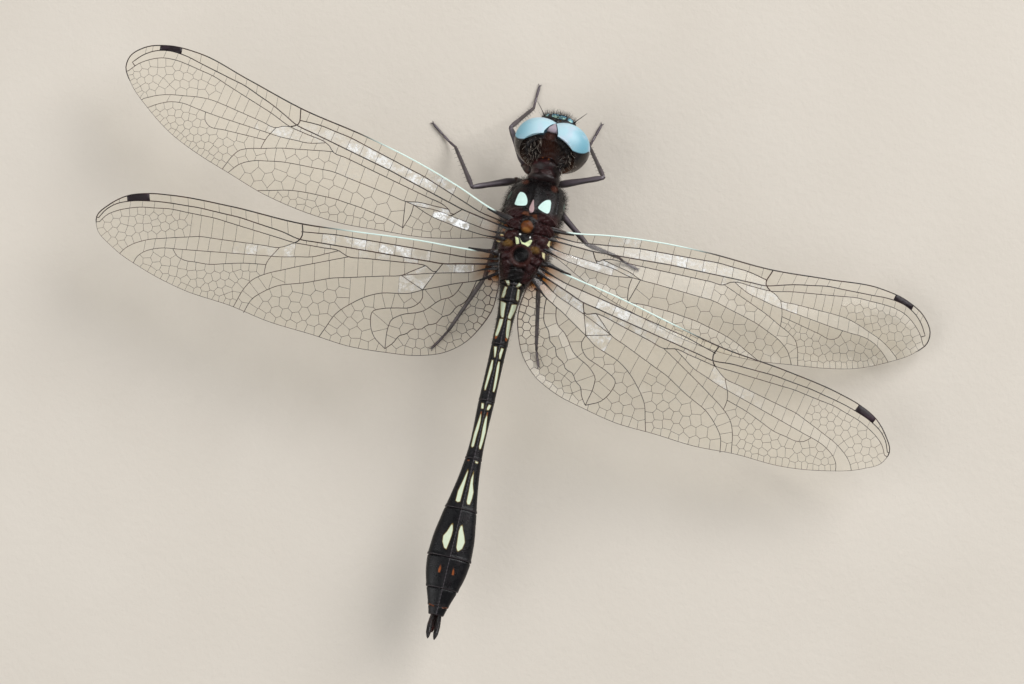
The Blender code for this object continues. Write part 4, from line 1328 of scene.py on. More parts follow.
FOREWING_LADDERS = (
    ((9.0, 1.5), (2.0, 3.2, 4.4, 5.6, 6.85, 8.15, 9.5, 10.8, 12.0, 13.1, 14.3, 15.6, 16.7), 0.0),
    ((9.0, 0.7), (4.45, 5.7, 6.95, 8.2, 9.5, 10.7, 12.0, 13.1, 14.4, 15.5), 0.0),
    ((9.0, 0.0), (5.0, 6.25, 7.35, 8.45, 9.5, 10.6, 11.6, 12.6, 13.7, 14.9, 15.9, 16.8), 0.05),
    ((9.0, -0.8), (5.6, 6.8, 7.6, 8.8, 10.0, 11.2, 12.4, 13.2), 0.08),
    ((16.5, 0.15), (15.7, 16.6, 17.3), 0.0),
    ((16.0, -0.5), (15.3, 16.3, 17.3, 18.0), 0.0),
    ((2.0, -0.6), (1.6, 2.7), 0.0), ((3.0, -1.3), (2.3, 5.2), 0.1),
    ((21.0, 2.2), (18.3, 19.4, 20.3, 21.1, 22.0, 22.9, 24.4, 25.8, 27.35, 29.05, 29.6, 30.1), 0.25),
    ((21.0, 1.5), (18.6, 19.4, 20.4, 21.6, 22.6, 23.5, 24.5, 25.6, 26.6, 27.6, 28.5), 0.0),
    ((21.0, 0.5), (19.4, 20.3, 21.3, 22.0, 22.7, 23.4), 0.0),
    ((21.0, -0.4), rungs(19.2, 27.0, 0.85), -0.05), ((21.0, -1.1), rungs(19.6, 23.4, 0.8), 0.0),
    ((7.1, -1.9), (), 0.0),
)
FOREWING_COMBS = (
    ((17.5, -1.9), 0.8), ((24.5, 0.6), 0.68), ((25.5, -2.2), 0.66), ((12.0, -2.3), 1.02),
    ((10.0, -4.0), 0.85),
)
HINDWING_LADDERS = (
    ((9.0, 0.5), (1.75, 2.9, 4.3, 5.7, 7.0, 8.15, 9.2, 10.3, 11.5, 12.8), 0.0),
    ((9.0, -0.1), (1.7, 2.9, 4.35, 5.75, 7.0, 8.2, 9.2, 10.25, 11.5, 12.5), 0.0),
    ((9.0, -0.8), (5.2, 6.3, 7.3, 8.4, 9.65, 10.6, 11.8, 12.8, 13.6), 0.05),
    ((9.0, -1.8), (6.1, 7.2, 8.5, 9.6), 0.08), ((11.3, -2.0), (10.6, 11.7, 12.8, 13.9, 15.0), 0.1),
    ((12.4, -1.0), (12.2, 13.3, 14.4), 0.0), ((13.0, -1.7), (11.8, 13.0, 14.3, 15.3), 0.05),
    ((8.0, -3.0), (6.4, 7.6, 8.9, 10.0), 0.05), ((2.0, -1.0), (1.0, 2.4), 0.0),
    ((2.5, -1.9), (1.3, 2.6), 0.1), ((4.6, -2.2), (), 0.0),
    ((20.0, 1.3), (15.3, 16.5, 17.5, 18.4, 19.5, 20.4, 21.5, 22.7, 24.0, 25.6, 27.3, 27.9, 28.4),
     0.2),
    ((20.0, 0.7), (17.7, 18.75, 19.75, 20.8, 21.7, 22.65, 23.8, 25.2, 26.1, 27.0), 0.0),
    ((19.0, -0.4), (16.4, 17.6, 18.9, 19.85, 20.7, 21.6, 22.3), 0.0),
    ((20.0, -1.6), (17.2, 18.1, 19.0, 19.9, 20.8, 21.6, 22.4, 23.3, 24.0, 24.8, 25.5), -0.05),
    ((20.0, -2.4), (17.2, 18.1, 19.4, 20.6, 21.7, 22.7), 0.0),
)
HINDWING_COMBS = (
    ((25.0, -0.4), 0.68), ((22.0, -3.8), 0.7), ((16.8, -3.8), 0.9),
    ((13.5, -5.2), 0.92), ((5.8, -4.9), 1.0), ((6.2, -6.1), 1.0), ((2.6, -6.0), 0.82),
)
print(len(FOREWING_LADDERS), "and", len(HINDWING_LADDERS), "ladders")

# %% [markdown]
# ## Smooth veins
#
# A vein could be one of Blender's curves, but the net has to be cut into cells, which takes
# plain points. So a smooth line is drawn through its control points. Its ends are then run on
# into whatever vein they stop just short of, because an open end would let two cells leak into
# one.

# %% Smooth veins
def evened(points, longest):
    """Adds points to long straight runs, so that a smooth line can't swing wide there."""
    rows = [points[:1]]
    for a, b in zip(points, points[1:]):
        count = max(1, int(np.linalg.norm(b - a) / longest + 0.5))
        rows.append(a + (b - a) * np.linspace(0, 1, count + 1)[1:, None])
    return np.concatenate(rows)


def smooth_path(points, step=0.3, closed=False):
    """A smooth line through control points, with a point about every step."""
    points = np.array(points, float)
    if not closed:
        points = evened(points, 1.2)
    else:
        points = np.concatenate([points[-2:], points, points[:3]])
    lengths = np.concatenate([[0], np.cumsum(np.linalg.norm(np.diff(points, axis=0), axis=1))])
    first, last = (lengths[2], lengths[-3]) if closed else (0, lengths[-1])
    at = np.linspace(first, last, max(3, round((last - first) / step) + 1))
    return cubic(lengths, points, at)


def nearest_on(point, path):
    """The nearest point of a path, and how far it is."""
    a, b = path[:-1], path[1:]
    along = ((point - a) * (b - a)).sum(1) / np.maximum(((b - a) ** 2).sum(1), 1e-9)
    feet = a + np.clip(along, 0, 1)[:, None] * (b - a)
    gaps = np.linalg.norm(feet - point, axis=1)
    return feet[gaps.argmin()], gaps.min()


def joined(lines):
    """Runs each vein's ends into whatever vein they stop short of."""
    made = {}
    for name, line in lines.items():
        others = [other for key, other in lines.items() if key != name]
        ends = []
        for end in (line[0], line[-1]):
            foot, gap = min((nearest_on(end, other) for other in others), key=lambda hit: hit[1])
            past = foot + (foot - end) / max(gap, 1e-6) * 0.01
            ends.append([past] if gap < 0.6 and name != "edge" else [])
        before, after = (np.reshape(end, (-1, 2)) for end in ends)
        made[name] = np.concatenate([before, line, after])
    return made


flat_edge = smooth_path(FOREWING_EDGE, 0.3, True)
print("fore wing", np.ptp(flat_edge, axis=0).round(1), "mm")

# %% [markdown]
# ## Cells and rungs
#
# Lines drawn across one another cut the plane into cells. A triangulation that must keep every
# line as an edge finds them all at once, wherever the lines cross. Rungs are cut to the strip
# that they stand in, each a hair too long so that it does meet its two veins.

# %% Cells and rungs
def area_of(outline):
    """The area inside a closed outline."""
    x, y = np.array(outline).T
    return abs(np.dot(x, np.roll(y, 1)) - np.dot(y, np.roll(x, 1))) / 2


def cells_of(lines):
    """Every closed cell of a net of lines, as corner lists."""
    points, edges = [], []
    for line in lines:
        first = len(points)
        points += [Vector(point) for point in line]
        edges += [(i, i + 1) for i in range(first, len(points) - 1)]
    places, _, faces, *_ = mathutils.geometry.delaunay_2d_cdt(points, edges, [], 3, 1e-4)
    return [[tuple(places[i]) for i in face] for face in faces]


def region_at(cells, point):
    """The smallest cell around a point."""
    around = [cell for cell in cells if inside(np.array([point]), cell)[0]]
    return min(around, key=area_of, default=None)


def clipped(a, b, region):
    """The pieces of a line inside a region, each a hair too long so that it meets the veins."""
    corners = np.array(region)
    following = np.roll(corners, -1, 0)
    along, edge = b - a, following - corners
    cross = along[0] * edge[:, 1] - along[1] * edge[:, 0]
    cross = np.where(np.abs(cross) < 1e-12, 1e-12, cross)
    offset = corners - a
    t = (offset[:, 0] * edge[:, 1] - offset[:, 1] * edge[:, 0]) / cross
    u = (offset[:, 0] * along[1] - offset[:, 1] * along[0]) / cross
    stops = np.sort(np.concatenate([[0, 1], t[(u >= 0) & (u <= 1) & (t > 0) & (t < 1)]]))
    found, extra = [], 0.012 / max(np.linalg.norm(along), 1e-6)
    for low, high in zip(stops, stops[1:]):
        middle = a + along * (low + high) / 2
        if high - low > 1e-4 and inside(middle[None], region)[0]:
            low = low - extra if low > 0 else low
            high = high + extra if high < 1 else high
            found.append(np.array([a + along * low, a + along * high]))
    return found


def ladder(region, xs, level, slant):
    """Rungs across a strip: x is measured at y = level, and they lean outwards by slant per mm."""
    found = []
    for x in xs:
        foot = np.array((x - (6 + level) * slant, -6.0))
        head = np.array((x + (6 - level) * slant, 6.0))
        found += [rung for rung in clipped(foot, head, region) if np.ptp(rung[:, 1]) < 3.2]
    return found


cut_square = [unit_square + unit_square[:1], [(0, 0), (1, 1)]]
print("a square cut corner to corner has", len(cells_of(cut_square)), "cells")

# %% [markdown]
# ## Honeycomb
#
# Towards the rear the net turns to a honeycomb. Plain hexagons would look too even. So seeds are
# scattered, then moved again and again to the middle of the ground nearest to each, until they
# are well spread; the borders between them are the veins. More weight near the edge gives the
# smaller cells found there.

# %% Honeycomb
def circle_centre(a, b, c):
    """The point as far from each of three points."""
    d = 2 * (a[0] * (b[1] - c[1]) + b[0] * (c[1] - a[1]) + c[0] * (a[1] - b[1]))
    d = d if abs(d) > 1e-9 else 1e-9
    sizes = [(p ** 2).sum() for p in (a, b, c)]
    x = (sizes[0] * (b[1] - c[1]) + sizes[1] * (c[1] - a[1]) + sizes[2] * (a[1] - b[1])) / d
    y = (sizes[0] * (c[0] - b[0]) + sizes[1] * (a[0] - c[0]) + sizes[2] * (b[0] - a[0])) / d
    return np.array((x, y))


def borders(seeds):
    """The lines halfway between neighbouring seeds; a far ring of seeds closes the outer ones."""
    turn = np.linspace(0, 2 * np.pi, 12, endpoint=False)
    far = seeds.mean(0) + 60 * np.stack([np.cos(turn), np.sin(turn)], 1)
    points = np.concatenate([seeds, far])
    result = mathutils.geometry.delaunay_2d_cdt([Vector(p) for p in points], [], [], 0, 1e-6)
    places, triangles = np.array([tuple(p) for p in result[0]]), result[2]
    sides = {}
    for triangle in triangles:
        centre = circle_centre(*places[list(triangle)])
        for i in range(3):
            pair = frozenset((triangle[i], triangle[i - 1]))
            sides.setdefault(pair, []).append(centre)
    return [ends for ends in sides.values() if len(ends) == 2]


def honeycomb(region, size, edge, random):
    """Veins between the cells of a relaxed net of seeds; smaller cells near the wing's edge."""
    outline = np.array(region)
    low, high = outline.min(0), outline.max(0)
    spread = np.stack(np.meshgrid(*[np.arange(a, b, size / 9) for a, b in zip(low, high)]), -1)
    spread = spread.reshape(-1, 2)
    spread = spread[inside(spread, region)]
    if len(spread) < 60:
        return []
    weight = 1 + 2.2 * np.exp(-to_segments(spread, edge[::2]) / (0.45 * size))
    count = max(2, round(area_of(region) / (0.87 * size * size) * weight.mean() ** 0.8))
    seeds = spread[random.choice(len(spread), count, False, weight / weight.sum())]
    for _ in range(40):
        owner = ((spread[:, None] - seeds) ** 2).sum(2).argmin(1)
        total = np.maximum(np.bincount(owner, weight, count), 1e-9)
        sums = [np.bincount(owner, weight * spread[:, k], count) for k in (0, 1)]
        seeds = np.stack([part / total for part in sums], 1)
    return [bit for a, b in borders(seeds) for bit in clipped(a, b, region)]


trial = [(4 * x, 4 * y) for x, y in unit_square]
trial_veins = honeycomb(trial, 1.0, np.array(trial), np.random.default_rng(1))
print("1 mm cells in a 4 mm square have", len(trial_veins), "borders")

# %% [markdown]
# ## Flat wings
#
# The net could be drawn on the folded wing, but crossings are far easier to find on a flat one.
# So it is planned flat in three passes: long veins, then ladders in the strips, then honeycombs
# in whatever is still open. What the lines leave between them are the clear panes.

# %% Flat wings
def plan_wing(edge, veins, ladders, combs, random):
    """Long veins, cross veins and clear panes of one wing, flat."""
    lines = {"edge": smooth_path(edge, 0.3, True)}
    lines.update({name: smooth_path(path) for name, path in veins.items()})
    lines = joined(lines)
    regions = cells_of(lines.values())
    cross = []
    for point, xs, slant in ladders:
        region = region_at(regions, point)
        cross += ladder(region, xs, point[1], slant) if region else []
    regions = cells_of([*lines.values(), *cross])
    for point, size in combs:
        region = region_at(regions, point)
        cross += honeycomb(region, size, lines["edge"], random) if region else []
    panes = [cell for cell in cells_of([*lines.values(), *cross]) if area_of(cell) > 0.004]
    print(len(regions), "regions,", len(cross), "cross veins,", len(panes), "panes")
    return lines, cross, panes


print("wide regions", len(FOREWING_COMBS), "and", len(HINDWING_COMBS))

# %% [markdown]
# ## Clear sheet
#
# The clear sheet is dry cuticle a few thousandths of a millimetre thick. It lets nearly all light
# through, tinted faintly yellow, and throws back a soft glint at some angles. A few cells carry a
# patchy white painted on as a diffuse haze, a painted reflection that stands in for bright glints,
# and every root is stained amber. Glass would bend the light as a thick pane does, so it is
# see-through and mirror in one, mixed by Fresnel.

# %% Clear sheet
def membrane_finish():
    """See-through sheet under a soft mirror, with a patchy painted white glint on some cells."""
    made, tree, shader = blank_finish("membrane")
    tree.nodes.remove(shader)
    clear = node(tree, "BsdfTransparent", {"Color": paint(tree, "#FDFBF5", "#B8741E", "amber")})
    soft = {0: grain(tree, 0.9, 2.0), 1: 0.3, 2: 0.7, 3: 0.18, 4: 0.34}
    ripple = {"Height": grain(tree, 0.8, 2.0), "Distance": 0.008 * MM}
    polish = {"Color": linear("#FFFFFF"), "Normal": node(tree, "Bump", ripple),
              "Roughness": node(tree, "MapRange", soft, **SMOOTH)}
    mirror = node(tree, "BsdfGlossy", polish)
    fresnel = node(tree, "LayerWeight", {"Blend": 0.25}, "Fresnel")
    glint = node(tree, "MixShader", {0: fresnel, 1: clear, 2: mirror})
    # Painted reflection: a pale diffuse white, tinted by the root stain, stands in for glints.
    glint_paint = node(tree, "BsdfDiffuse", {"Color": paint(tree, "#E9EAEA", "#C98A2C", "amber")})
    # Each pane's stored share of painted glint, broken into patches by two noises.
    amount = node(tree, "Attribute", out="Fac", attribute_name="painted_glint")
    for glint_patches in ({0: grain(tree, 0.9, 4.0, 0.6), 1: 0.38, 2: 0.6, 3: 0.05, 4: 1.2},
                   {0: grain(tree, 0.22, 4.0), 1: 0.35, 2: 0.6, 3: 0.25}):
        glint_patches = node(tree, "MapRange", glint_patches, **SMOOTH)
        amount = node(tree, "Math", {0: amount, 1: glint_patches}, operation="MULTIPLY")
    sheet = node(tree, "MixShader", {0: amount, 1: glint, 2: glint_paint})
    feed(tree, tree.nodes["Material Output"], {"Surface": sheet})
    return made


MEMBRANE = membrane_finish()
print(MEMBRANE.name, len(MEMBRANE.node_tree.nodes), "nodes")

# %% [markdown]
# ## Vein finish
#
# Veins are dark glossy rods of thick cuticle. On the basal half the leading edge carries a pale
# mint streak. A second material would end it in a hard line, so the stored values "mint" and
# "amber" say where the streak and the stain lie and how they fade.

# %% Vein finish
def vein_finish():
    """Dark brown rod, nearly black in the amber root, with the mint streak."""
    made, tree, shader = blank_finish("vein")
    tint = paint(tree, "#140D0B", "#402619", grain(tree, 1.2, 3.0), 0.35, 0.7)
    tint = paint(tree, tint, "#1C110C", "amber")
    ribs = {"Height": grain(tree, 0.08, 3.0), "Distance": 0.008 * MM}
    feed(tree, shader, {"Base Color": paint(tree, tint, "#DCEFE6", "mint"), "Roughness": 0.35,
                        "IOR": CUTICLE_IOR, "Normal": node(tree, "Bump", ribs)})
    return made


VEIN = vein_finish()
print(VEIN.name, len(VEIN.node_tree.nodes), "nodes")

# %% [markdown]
# ## Folding a wing
#
# The fan folds are deepest at the root and die out towards the tip. They could be sculpted, but
# panes and veins here take their height from one function, so they always meet. Each wing has
# its own hinge, sweep and droop.

# %% Folding a wing
WING_POSES = {
    "wing_fore_left": (1, (1.7, -1.3, 7.45), 10.5, 4.5),
    "wing_fore_right": (-1, (-2.0, -1.2, 7.3), 0.5, 11.5),
    "wing_hind_left": (1, (2.25, 1.5, 7.45), -6.0, 4.0),
    "wing_hind_right": (-1, (-2.3, 1.5, 7.5), -12.3, 7.0),
}
RIDGES = ("edge", "r", "ir2", "ma", "a", "cua", "lpf")
VALLEYS = ("sc", "rp", "rp2", "m", "cup", "lpm")
FOLD_WIDTH = 0.38


def fold_height(plan, lines):
    """Height of the folded sheet at points of the flat wing."""
    plan = np.asarray(plan, float)
    depth = 0.04 + 0.2 * np.exp(-np.clip(plan[:, 0], 0, 40) / 5)
    rise = np.zeros(len(plan))
    for names, sign in ((RIDGES, 1), (VALLEYS, -1)):
        for name in names:
            if name in lines:
                rise += sign * np.exp(-(to_segments(plan, lines[name][::2]) / FOLD_WIDTH) ** 2)
    return depth * np.clip(rise, -1, 1)


def in_body(plan, heights, pose):
    """A wing's own points in the animal's frame; its pose is side, hinge, sweep and droop."""
    side, hinge, sweep, droop = pose
    turn = spin("Z", -side * sweep) @ spin("Y", side * droop) @ spin("X", -2)
    flat = np.stack([side * plan[:, 0], -plan[:, 1], heights], 1)
    return flat @ turn.T + hinge


def amber_at(plan):
    """How strongly the root's stain colours a point, fading within about two millimetres."""
    root = np.exp(-np.clip(plan[:, 0] + 0.4, 0, 40) / 0.7)
    behind = np.interp(plan[:, 1], (-3, -1.9, -0.9), (0.08, 0.2, 1.0))
    return np.clip(2.0 * root * behind - 0.08, 0, 1)


print("stain at the hinge and 2 mm out", amber_at(np.array([(0.0, 0.0), (2.0, 0.0)])).round(2))

# %% [markdown]
# ## Panes
#
# One smooth sheet would flash all at once. So each clear cell is its own pane, a fan of
# triangles round a middle point that swells a touch, and neighbours catch the light differently.
# Where such a fan would fold over itself, the pane is one flat face instead. Cells that get a
# painted white glint are named by boxes in the wing's plan.

# %% Panes
# Each box is x from, x to, y from, y to, then how strong its painted glint is.
FOREWING_GLINT_BOXES = (
    (2.0, 6.6, -1.6, -1.0, 0.9), (4.5, 13.5, 0.4, 1.2, 0.6), (13.5, 17.4, 0.0, 1.2, 0.3),
    (17.4, 20.2, -0.7, -0.05, 0.4), (9.8, 13.2, -1.2, -0.4, 0.12), (0.2, 3.5, -0.95, -0.3, 0.2),
)
HINDWING_GLINT_BOXES = (
    (3.9, 10.8, -0.5, 0.2, 0.6), (10.8, 13.0, -0.6, 0.2, 0.25), (5.5, 9.2, -1.15, -0.75, 0.35),
    (3.9, 6.0, -2.9, -1.7, 0.45), (13.0, 16.0, -1.85, -1.3, 0.4), (16.0, 19.2, -1.95, -1.2, 0.3),
    (1.2, 3.4, -1.7, -0.95, 0.5),
)
CLEAR_GLINT_PAINT = 0.015


def fans_well(corners, middle):
    """Whether triangles from the middle to every side all turn the same way."""
    (ax, ay), (bx, by) = (corners - middle).T, (np.roll(corners, -1, 0) - middle).T
    turns = ax * by - ay * bx
    return (turns > 0).all() or (turns < 0).all()


def make_panes(name, panes, lines, pose, glint_boxes, finish, random):
    """Each clear cell as its own slightly swollen pane."""
    plan, swell_up, faces, painted_glint = [], [], [], []
    for pane in panes:
        corners = np.array(pane)
        middle, width = corners.mean(0), math.sqrt(area_of(pane))
        first, count = len(plan), len(corners)
        plan += [*corners, middle]
        swell_up += [0] * count + [random.normal(0.0, 0.03) * width]
        if fans_well(corners, middle):
            faces += [(first + i, first + (i + 1) % count, first + count) for i in range(count)]
        else:
            faces.append(tuple(range(first, first + count)))
        # Painted reflection: each pane's share of painted white glint, from its box, else a faint
        # one.
        glint_paint = max([amount for x0, x1, y0, y1, amount in glint_boxes
                    if x0 < middle[0] < x1 and y0 < middle[1] < y1], default=CLEAR_GLINT_PAINT)
        painted_glint += [glint_paint * random.uniform(0.35, 1.1)] * (count + 1)
    plan = np.array(plan)
    points = in_body(plan, fold_height(plan, lines) + swell_up, pose)
    values = {"painted_glint": painted_glint, "amber": amber_at(plan)}
    return piece(name + "_panes", points, faces, finish, "wing", (name,), values)


print("milky boxes", len(FOREWING_GLINT_BOXES), "and", len(HINDWING_GLINT_BOXES))

# %% [markdown]
# ## Rods and the dark cell
#
# Veins are thin tubes, stouter at the root and along the front, where the wing takes the load.
# Lines painted on the sheet would vanish from the side. The stigma is the thick dark cell near
# the tip, a little pillow whose weight steadies the wing.

# %% Rods and the dark cell
# Radii in mm; any other long vein takes LONG_VEIN and each short one CROSS_VEIN.
VEIN_RADII = {"sc": 0.04, "r": 0.046, "nod": 0.05, "rp": 0.034, "arc": 0.038}
LONG_VEIN, CROSS_VEIN = 0.028, 0.016
FRONT_EDGE, HIND_EDGE = 0.055, 0.02


def without_repeats(line):
    """Leaves out points that repeat the one before: a rod has no direction there."""
    steps = np.linalg.norm(np.diff(line, axis=0), axis=1)
    return line[np.concatenate([[True], steps > 1e-6])]


def make_veins(name, lines, cross, pose, finish):
    """All the wing's veins as rods that thin towards the tip."""
    shapes, mint, amber = [], [], []
    for key, line in [*lines.items(), *((None, bit) for bit in cross)]:
        if key is None:
            line = np.array([line[0], line.mean(0), line[1]])
        else:
            line = without_repeats(line)
        size = VEIN_RADII.get(key, LONG_VEIN if key else CROSS_VEIN)
        if key == "edge":
            front = line[:, 1] > 0.3 * np.interp(line[:, 0], (0, 20, 32), (1, 1, -4))
            size = np.where(front, FRONT_EDGE, HIND_EDGE)
        radii = size * (1 + 0.9 * np.exp(-np.clip(line[:, 0] + 0.3, 0, 40) / 0.9))
        radii = radii * np.interp(line[:, 0], (0, 30), (1.1, 0.75))
        points, faces = tube(in_body(line, fold_height(line, lines), pose), radii, 8 if key else 5)
        shapes.append((points, faces))
        streak = (key == "edge") * (line[:, 1] > 0.3) * smooth_step(line[:, 0], 0.9, 1.3)
        streak = streak * (1 - smooth_step(line[:, 0], 9.5, 13))
        mint.append(np.repeat(streak, len(points) // len(line)))
        amber.append(np.repeat(amber_at(line), len(points) // len(line)) * 0.7)
    values = {"mint": np.concatenate(mint), "amber": np.concatenate(amber)}
    return piece(name + "_veins", *gather(shapes), finish, "wing", (name,), values)


def make_stigma(name, panes, bounds, lines, pose, finish):
    """The thick dark cell near the tip, a little pillow that steadies the wing."""
    x0, x1, lowest = bounds
    cell = max((pane for pane in panes if x0 < np.mean(pane, 0)[0] < x1
                and np.mean(pane, 0)[1] > lowest), key=area_of)
    corners = np.array(cell)
    middle = corners.mean(0)
    rows = [(0.5, -0.05), (0.97, -0.035), (1.0, 0.0), (0.97, 0.04), (0.8, 0.065), (0.3, 0.07)]
    points = []
    for scale, height in rows:
        plan = middle + (corners - middle) * scale
        points.append(in_body(plan, fold_height(plan, lines) + height, pose))
    faces = tube_faces(len(rows), len(corners))
    return piece(name + "_stigma", np.concatenate(points), faces, finish, "wing")


print("veins are", 2 * CROSS_VEIN, "to", 2 * FRONT_EDGE, "mm across")

# %% [markdown]
# ## Hinges
#
# A real hinge is a knot of soft skin and small hard plates, mostly hidden by hair. Here each
# long vein swells into a stout strut, with small plates between them, which is as much as shows.
# Those of the fore wings are cream and those of the hind wings are stained amber.

# %% Hinges
CREAM_PLATE = shell("cream_plate", "#CBBB88", "#9A6A2C", (), 0.4, warm_size=0.2)
AMBER_PLATE = shell("amber_plate", "#3A2010", "#8A5A20", (), 0.4, warm_size=0.2)


def make_root(name, pose, lines):
    """The hinge: each long vein swells into a stout strut, with small pale plates between them."""
    shapes, plates = [], []
    front = np.array([(-0.7, 0.36), (-0.2, 0.46), (0.4, 0.48), (1.0, 0.5), (1.6, 0.55)])
    shapes.append(tube(in_body(front, fold_height(front, lines) + 0.03, pose),
                       (0.2, 0.17, 0.13, 0.1, 0.06), 14))
    for key in ("sc", "r", "m", "a"):
        strut = lines[key][lines[key][:, 0] < 1.1]
        radii = 0.035 + 0.085 * (1 - smooth_step(strut[:, 0], -0.4, 1.0))
        shapes.append(tube(in_body(strut, fold_height(strut, lines), pose), radii, 12))
        points, faces = ball((0.16, 0.1, 0.06), 24, 16, 2.4)
        place = points[:, :2] + strut[strut[:, 0] > -0.35][0] - (0, 0.18)
        plates.append((in_body(place, points[:, 2] - 0.02, pose), faces))
    piece(name + "_struts", *gather(shapes), DARK, "shell_black")
    finish = CREAM_PLATE if "fore" in name else AMBER_PLATE
    piece(name + "_plates", *gather(plates), finish, "shell_brown")


print("hinge plates in", CREAM_PLATE.name, "and", AMBER_PLATE.name)

# %% [markdown]
# ## Four wings
#
# Left and right wings of a pair share one plan of long veins and ladders. They could be
# mirrored, but no two real wings match cell for cell, so each draws its own small cells and
# scuffs.

# %% Four wings
STIGMA = shell("stigma", "#1E1216", "#33202A", (), 0.4, 0.05, 0.006)
# For each pair: its plan, its boxes of painted glint, where its stigma lies (x from, x to, least
# y), a seed.
WING_PLANS = {
    "fore": ((FOREWING_EDGE, FOREWING_VEINS, FOREWING_LADDERS, FOREWING_COMBS), FOREWING_GLINT_BOXES,
             (27.2, 28.7, 1.9), 40),
    "hind": ((HINDWING_EDGE, HINDWING_VEINS, HINDWING_LADDERS, HINDWING_COMBS), HINDWING_GLINT_BOXES,
             (25.7, 27.2, 1.1), 60),
}


def make_wing(name, pose):
    """One wing: its net is planned flat, then folded and posed."""
    plan, glint_boxes, stigma, first_seed = WING_PLANS[name.split("_")[1]]
    random = np.random.default_rng(first_seed + len(name))
    lines, cross, panes = plan_wing(*plan, random)
    make_panes(name, panes, lines, pose, glint_boxes, MEMBRANE, random)
    make_veins(name, lines, cross, pose, VEIN)
    make_stigma(name, panes, stigma, lines, pose, STIGMA)
    make_root(name, pose, lines)


for name, pose in WING_POSES.items():
    make_wing(name, pose)

# %% [markdown]
# ## Hair finish
#
# Fine dry hairs stand on the thorax, the back of the head and the first rings. Blender's hair
# shader is meant for curves, so the plain one is used. They are darker at the root, and too
# rough to gleam, so the black shell still looks black through them.

# %% Hair finish
def hair_finish(name, root, tip):
    """Dry hair, darker at its root than at its tip."""
    made, tree, shader = blank_finish(name)
    tint = paint(tree, root, tip, "along")
    tint = paint(tree, tint, root, grain(tree, 0.5), 0.4, 0.7, 0.5)
    feed(tree, shader, {"Base Color": tint, "Roughness": 0.5, "Specular IOR Level": 0.2,
                        "Sheen Weight": 0.08})
    return made


PALE = hair_finish("pale_hair", "#100B09", "#3C3029")
BROWN = hair_finish("brown_hair", "#0D0908", "#5E4A3C")
BLACK = hair_finish("black_bristle", "#0C0A0A", "#2B2422")
print("hair nodes", len(PALE.node_tree.nodes))

# %% [markdown]
# ## Growing hairs
#
# Real hairs are about 0.005 mm thick. Here each is a bent three-sided cone, 0.014 to 0.036 mm
# across at its root, so that it still shows. A particle system would be quicker to set up, but
# solid hairs can be exported and cast true shadows. Every hair has its own small patch, 0.003
# wide, at its root's place on an unwrap of the skin.

# %% Growing hairs
PATCH, UNWRAP_SPAN = 0.003, 0.996


def lay_patches(mesh, unwrap, t, sides, steps):
    """Gives each hair its own small patch of the OFBake map at its root's place."""
    patch = np.stack(np.meshgrid(np.arange(sides) / sides, t), -1).reshape(-1, 2) * PATCH
    per_point = (unwrap[:, None] * UNWRAP_SPAN + patch[None]).reshape(-1, 2)
    corners = np.empty(len(mesh.loops), int)
    mesh.loops.foreach_get("vertex_index", corners)
    mesh.uv_layers.new(name="OFBake").data.foreach_set("uv", per_point[corners].ravel())


def grow_hairs(name, roots, normals, unwrap, length, lean, thick, finish, slot):
    """A coat of solid hairs with their map; lean pulls every hair the same way."""
    count, steps, sides = len(roots), 4, 3
    t = np.linspace(0, 1, steps)
    away = normals + RANDOM.normal(0, 0.28, (count, 3)) + lean
    away /= np.linalg.norm(away, axis=1)[:, None]
    droop = RANDOM.normal(0, 0.25, (count, 3)) + np.array(lean) * 0.7
    reach = length * RANDOM.uniform(0.55, 1.15, count)
    path = (roots[:, None] - normals[:, None] * 0.02 + reach[:, None, None]
            * (away[:, None] * t[None, :, None] + droop[:, None] * (t ** 2)[None, :, None] * 0.5))
    side = np.cross(away, RANDOM.normal(0, 1, (count, 3)))
    side /= np.linalg.norm(side, axis=1)[:, None]
    other = np.cross(away, side)
    angle = np.arange(sides) * 2 * np.pi / sides
    ring = np.cos(angle)[None, :, None] * side[:, None]
    ring = ring + np.sin(angle)[None, :, None] * other[:, None]
    width = thick * (1 - 0.88 * t)
    points = path[:, :, None] + ring[:, None] * width[None, :, None, None]
    one = np.array([(s * sides + i, s * sides + (i + 1) % sides, (s + 1) * sides + (i + 1) % sides,
                     (s + 1) * sides + i) for s in range(steps - 1) for i in range(sides)])
    faces = (one[None] + (np.arange(count) * steps * sides)[:, None, None]).reshape(-1, 4)
    ends = (np.arange(count) * steps * sides)[:, None] + np.arange(sides)
    tips = ends + (steps - 1) * sides
    all_faces = faces.tolist() + ends[:, ::-1].tolist() + tips.tolist()
    made = piece(name, points.reshape(-1, 3), all_faces, finish, slot,
                 values={"along": np.tile(np.repeat(t, sides), count)})
    lay_patches(made.data, unwrap, t, sides, steps)
    return made


print("patches side by side", round(1 / PATCH))

# %% [markdown]
# ## Where hairs grow
#
# Roots could be painted as a weight map, but a rule in code is easier to change. They are picked
# at random among a piece's faces, weighted by area and by a rule that says where hair grows. The
# rule sees each face's middle and the way that it faces.

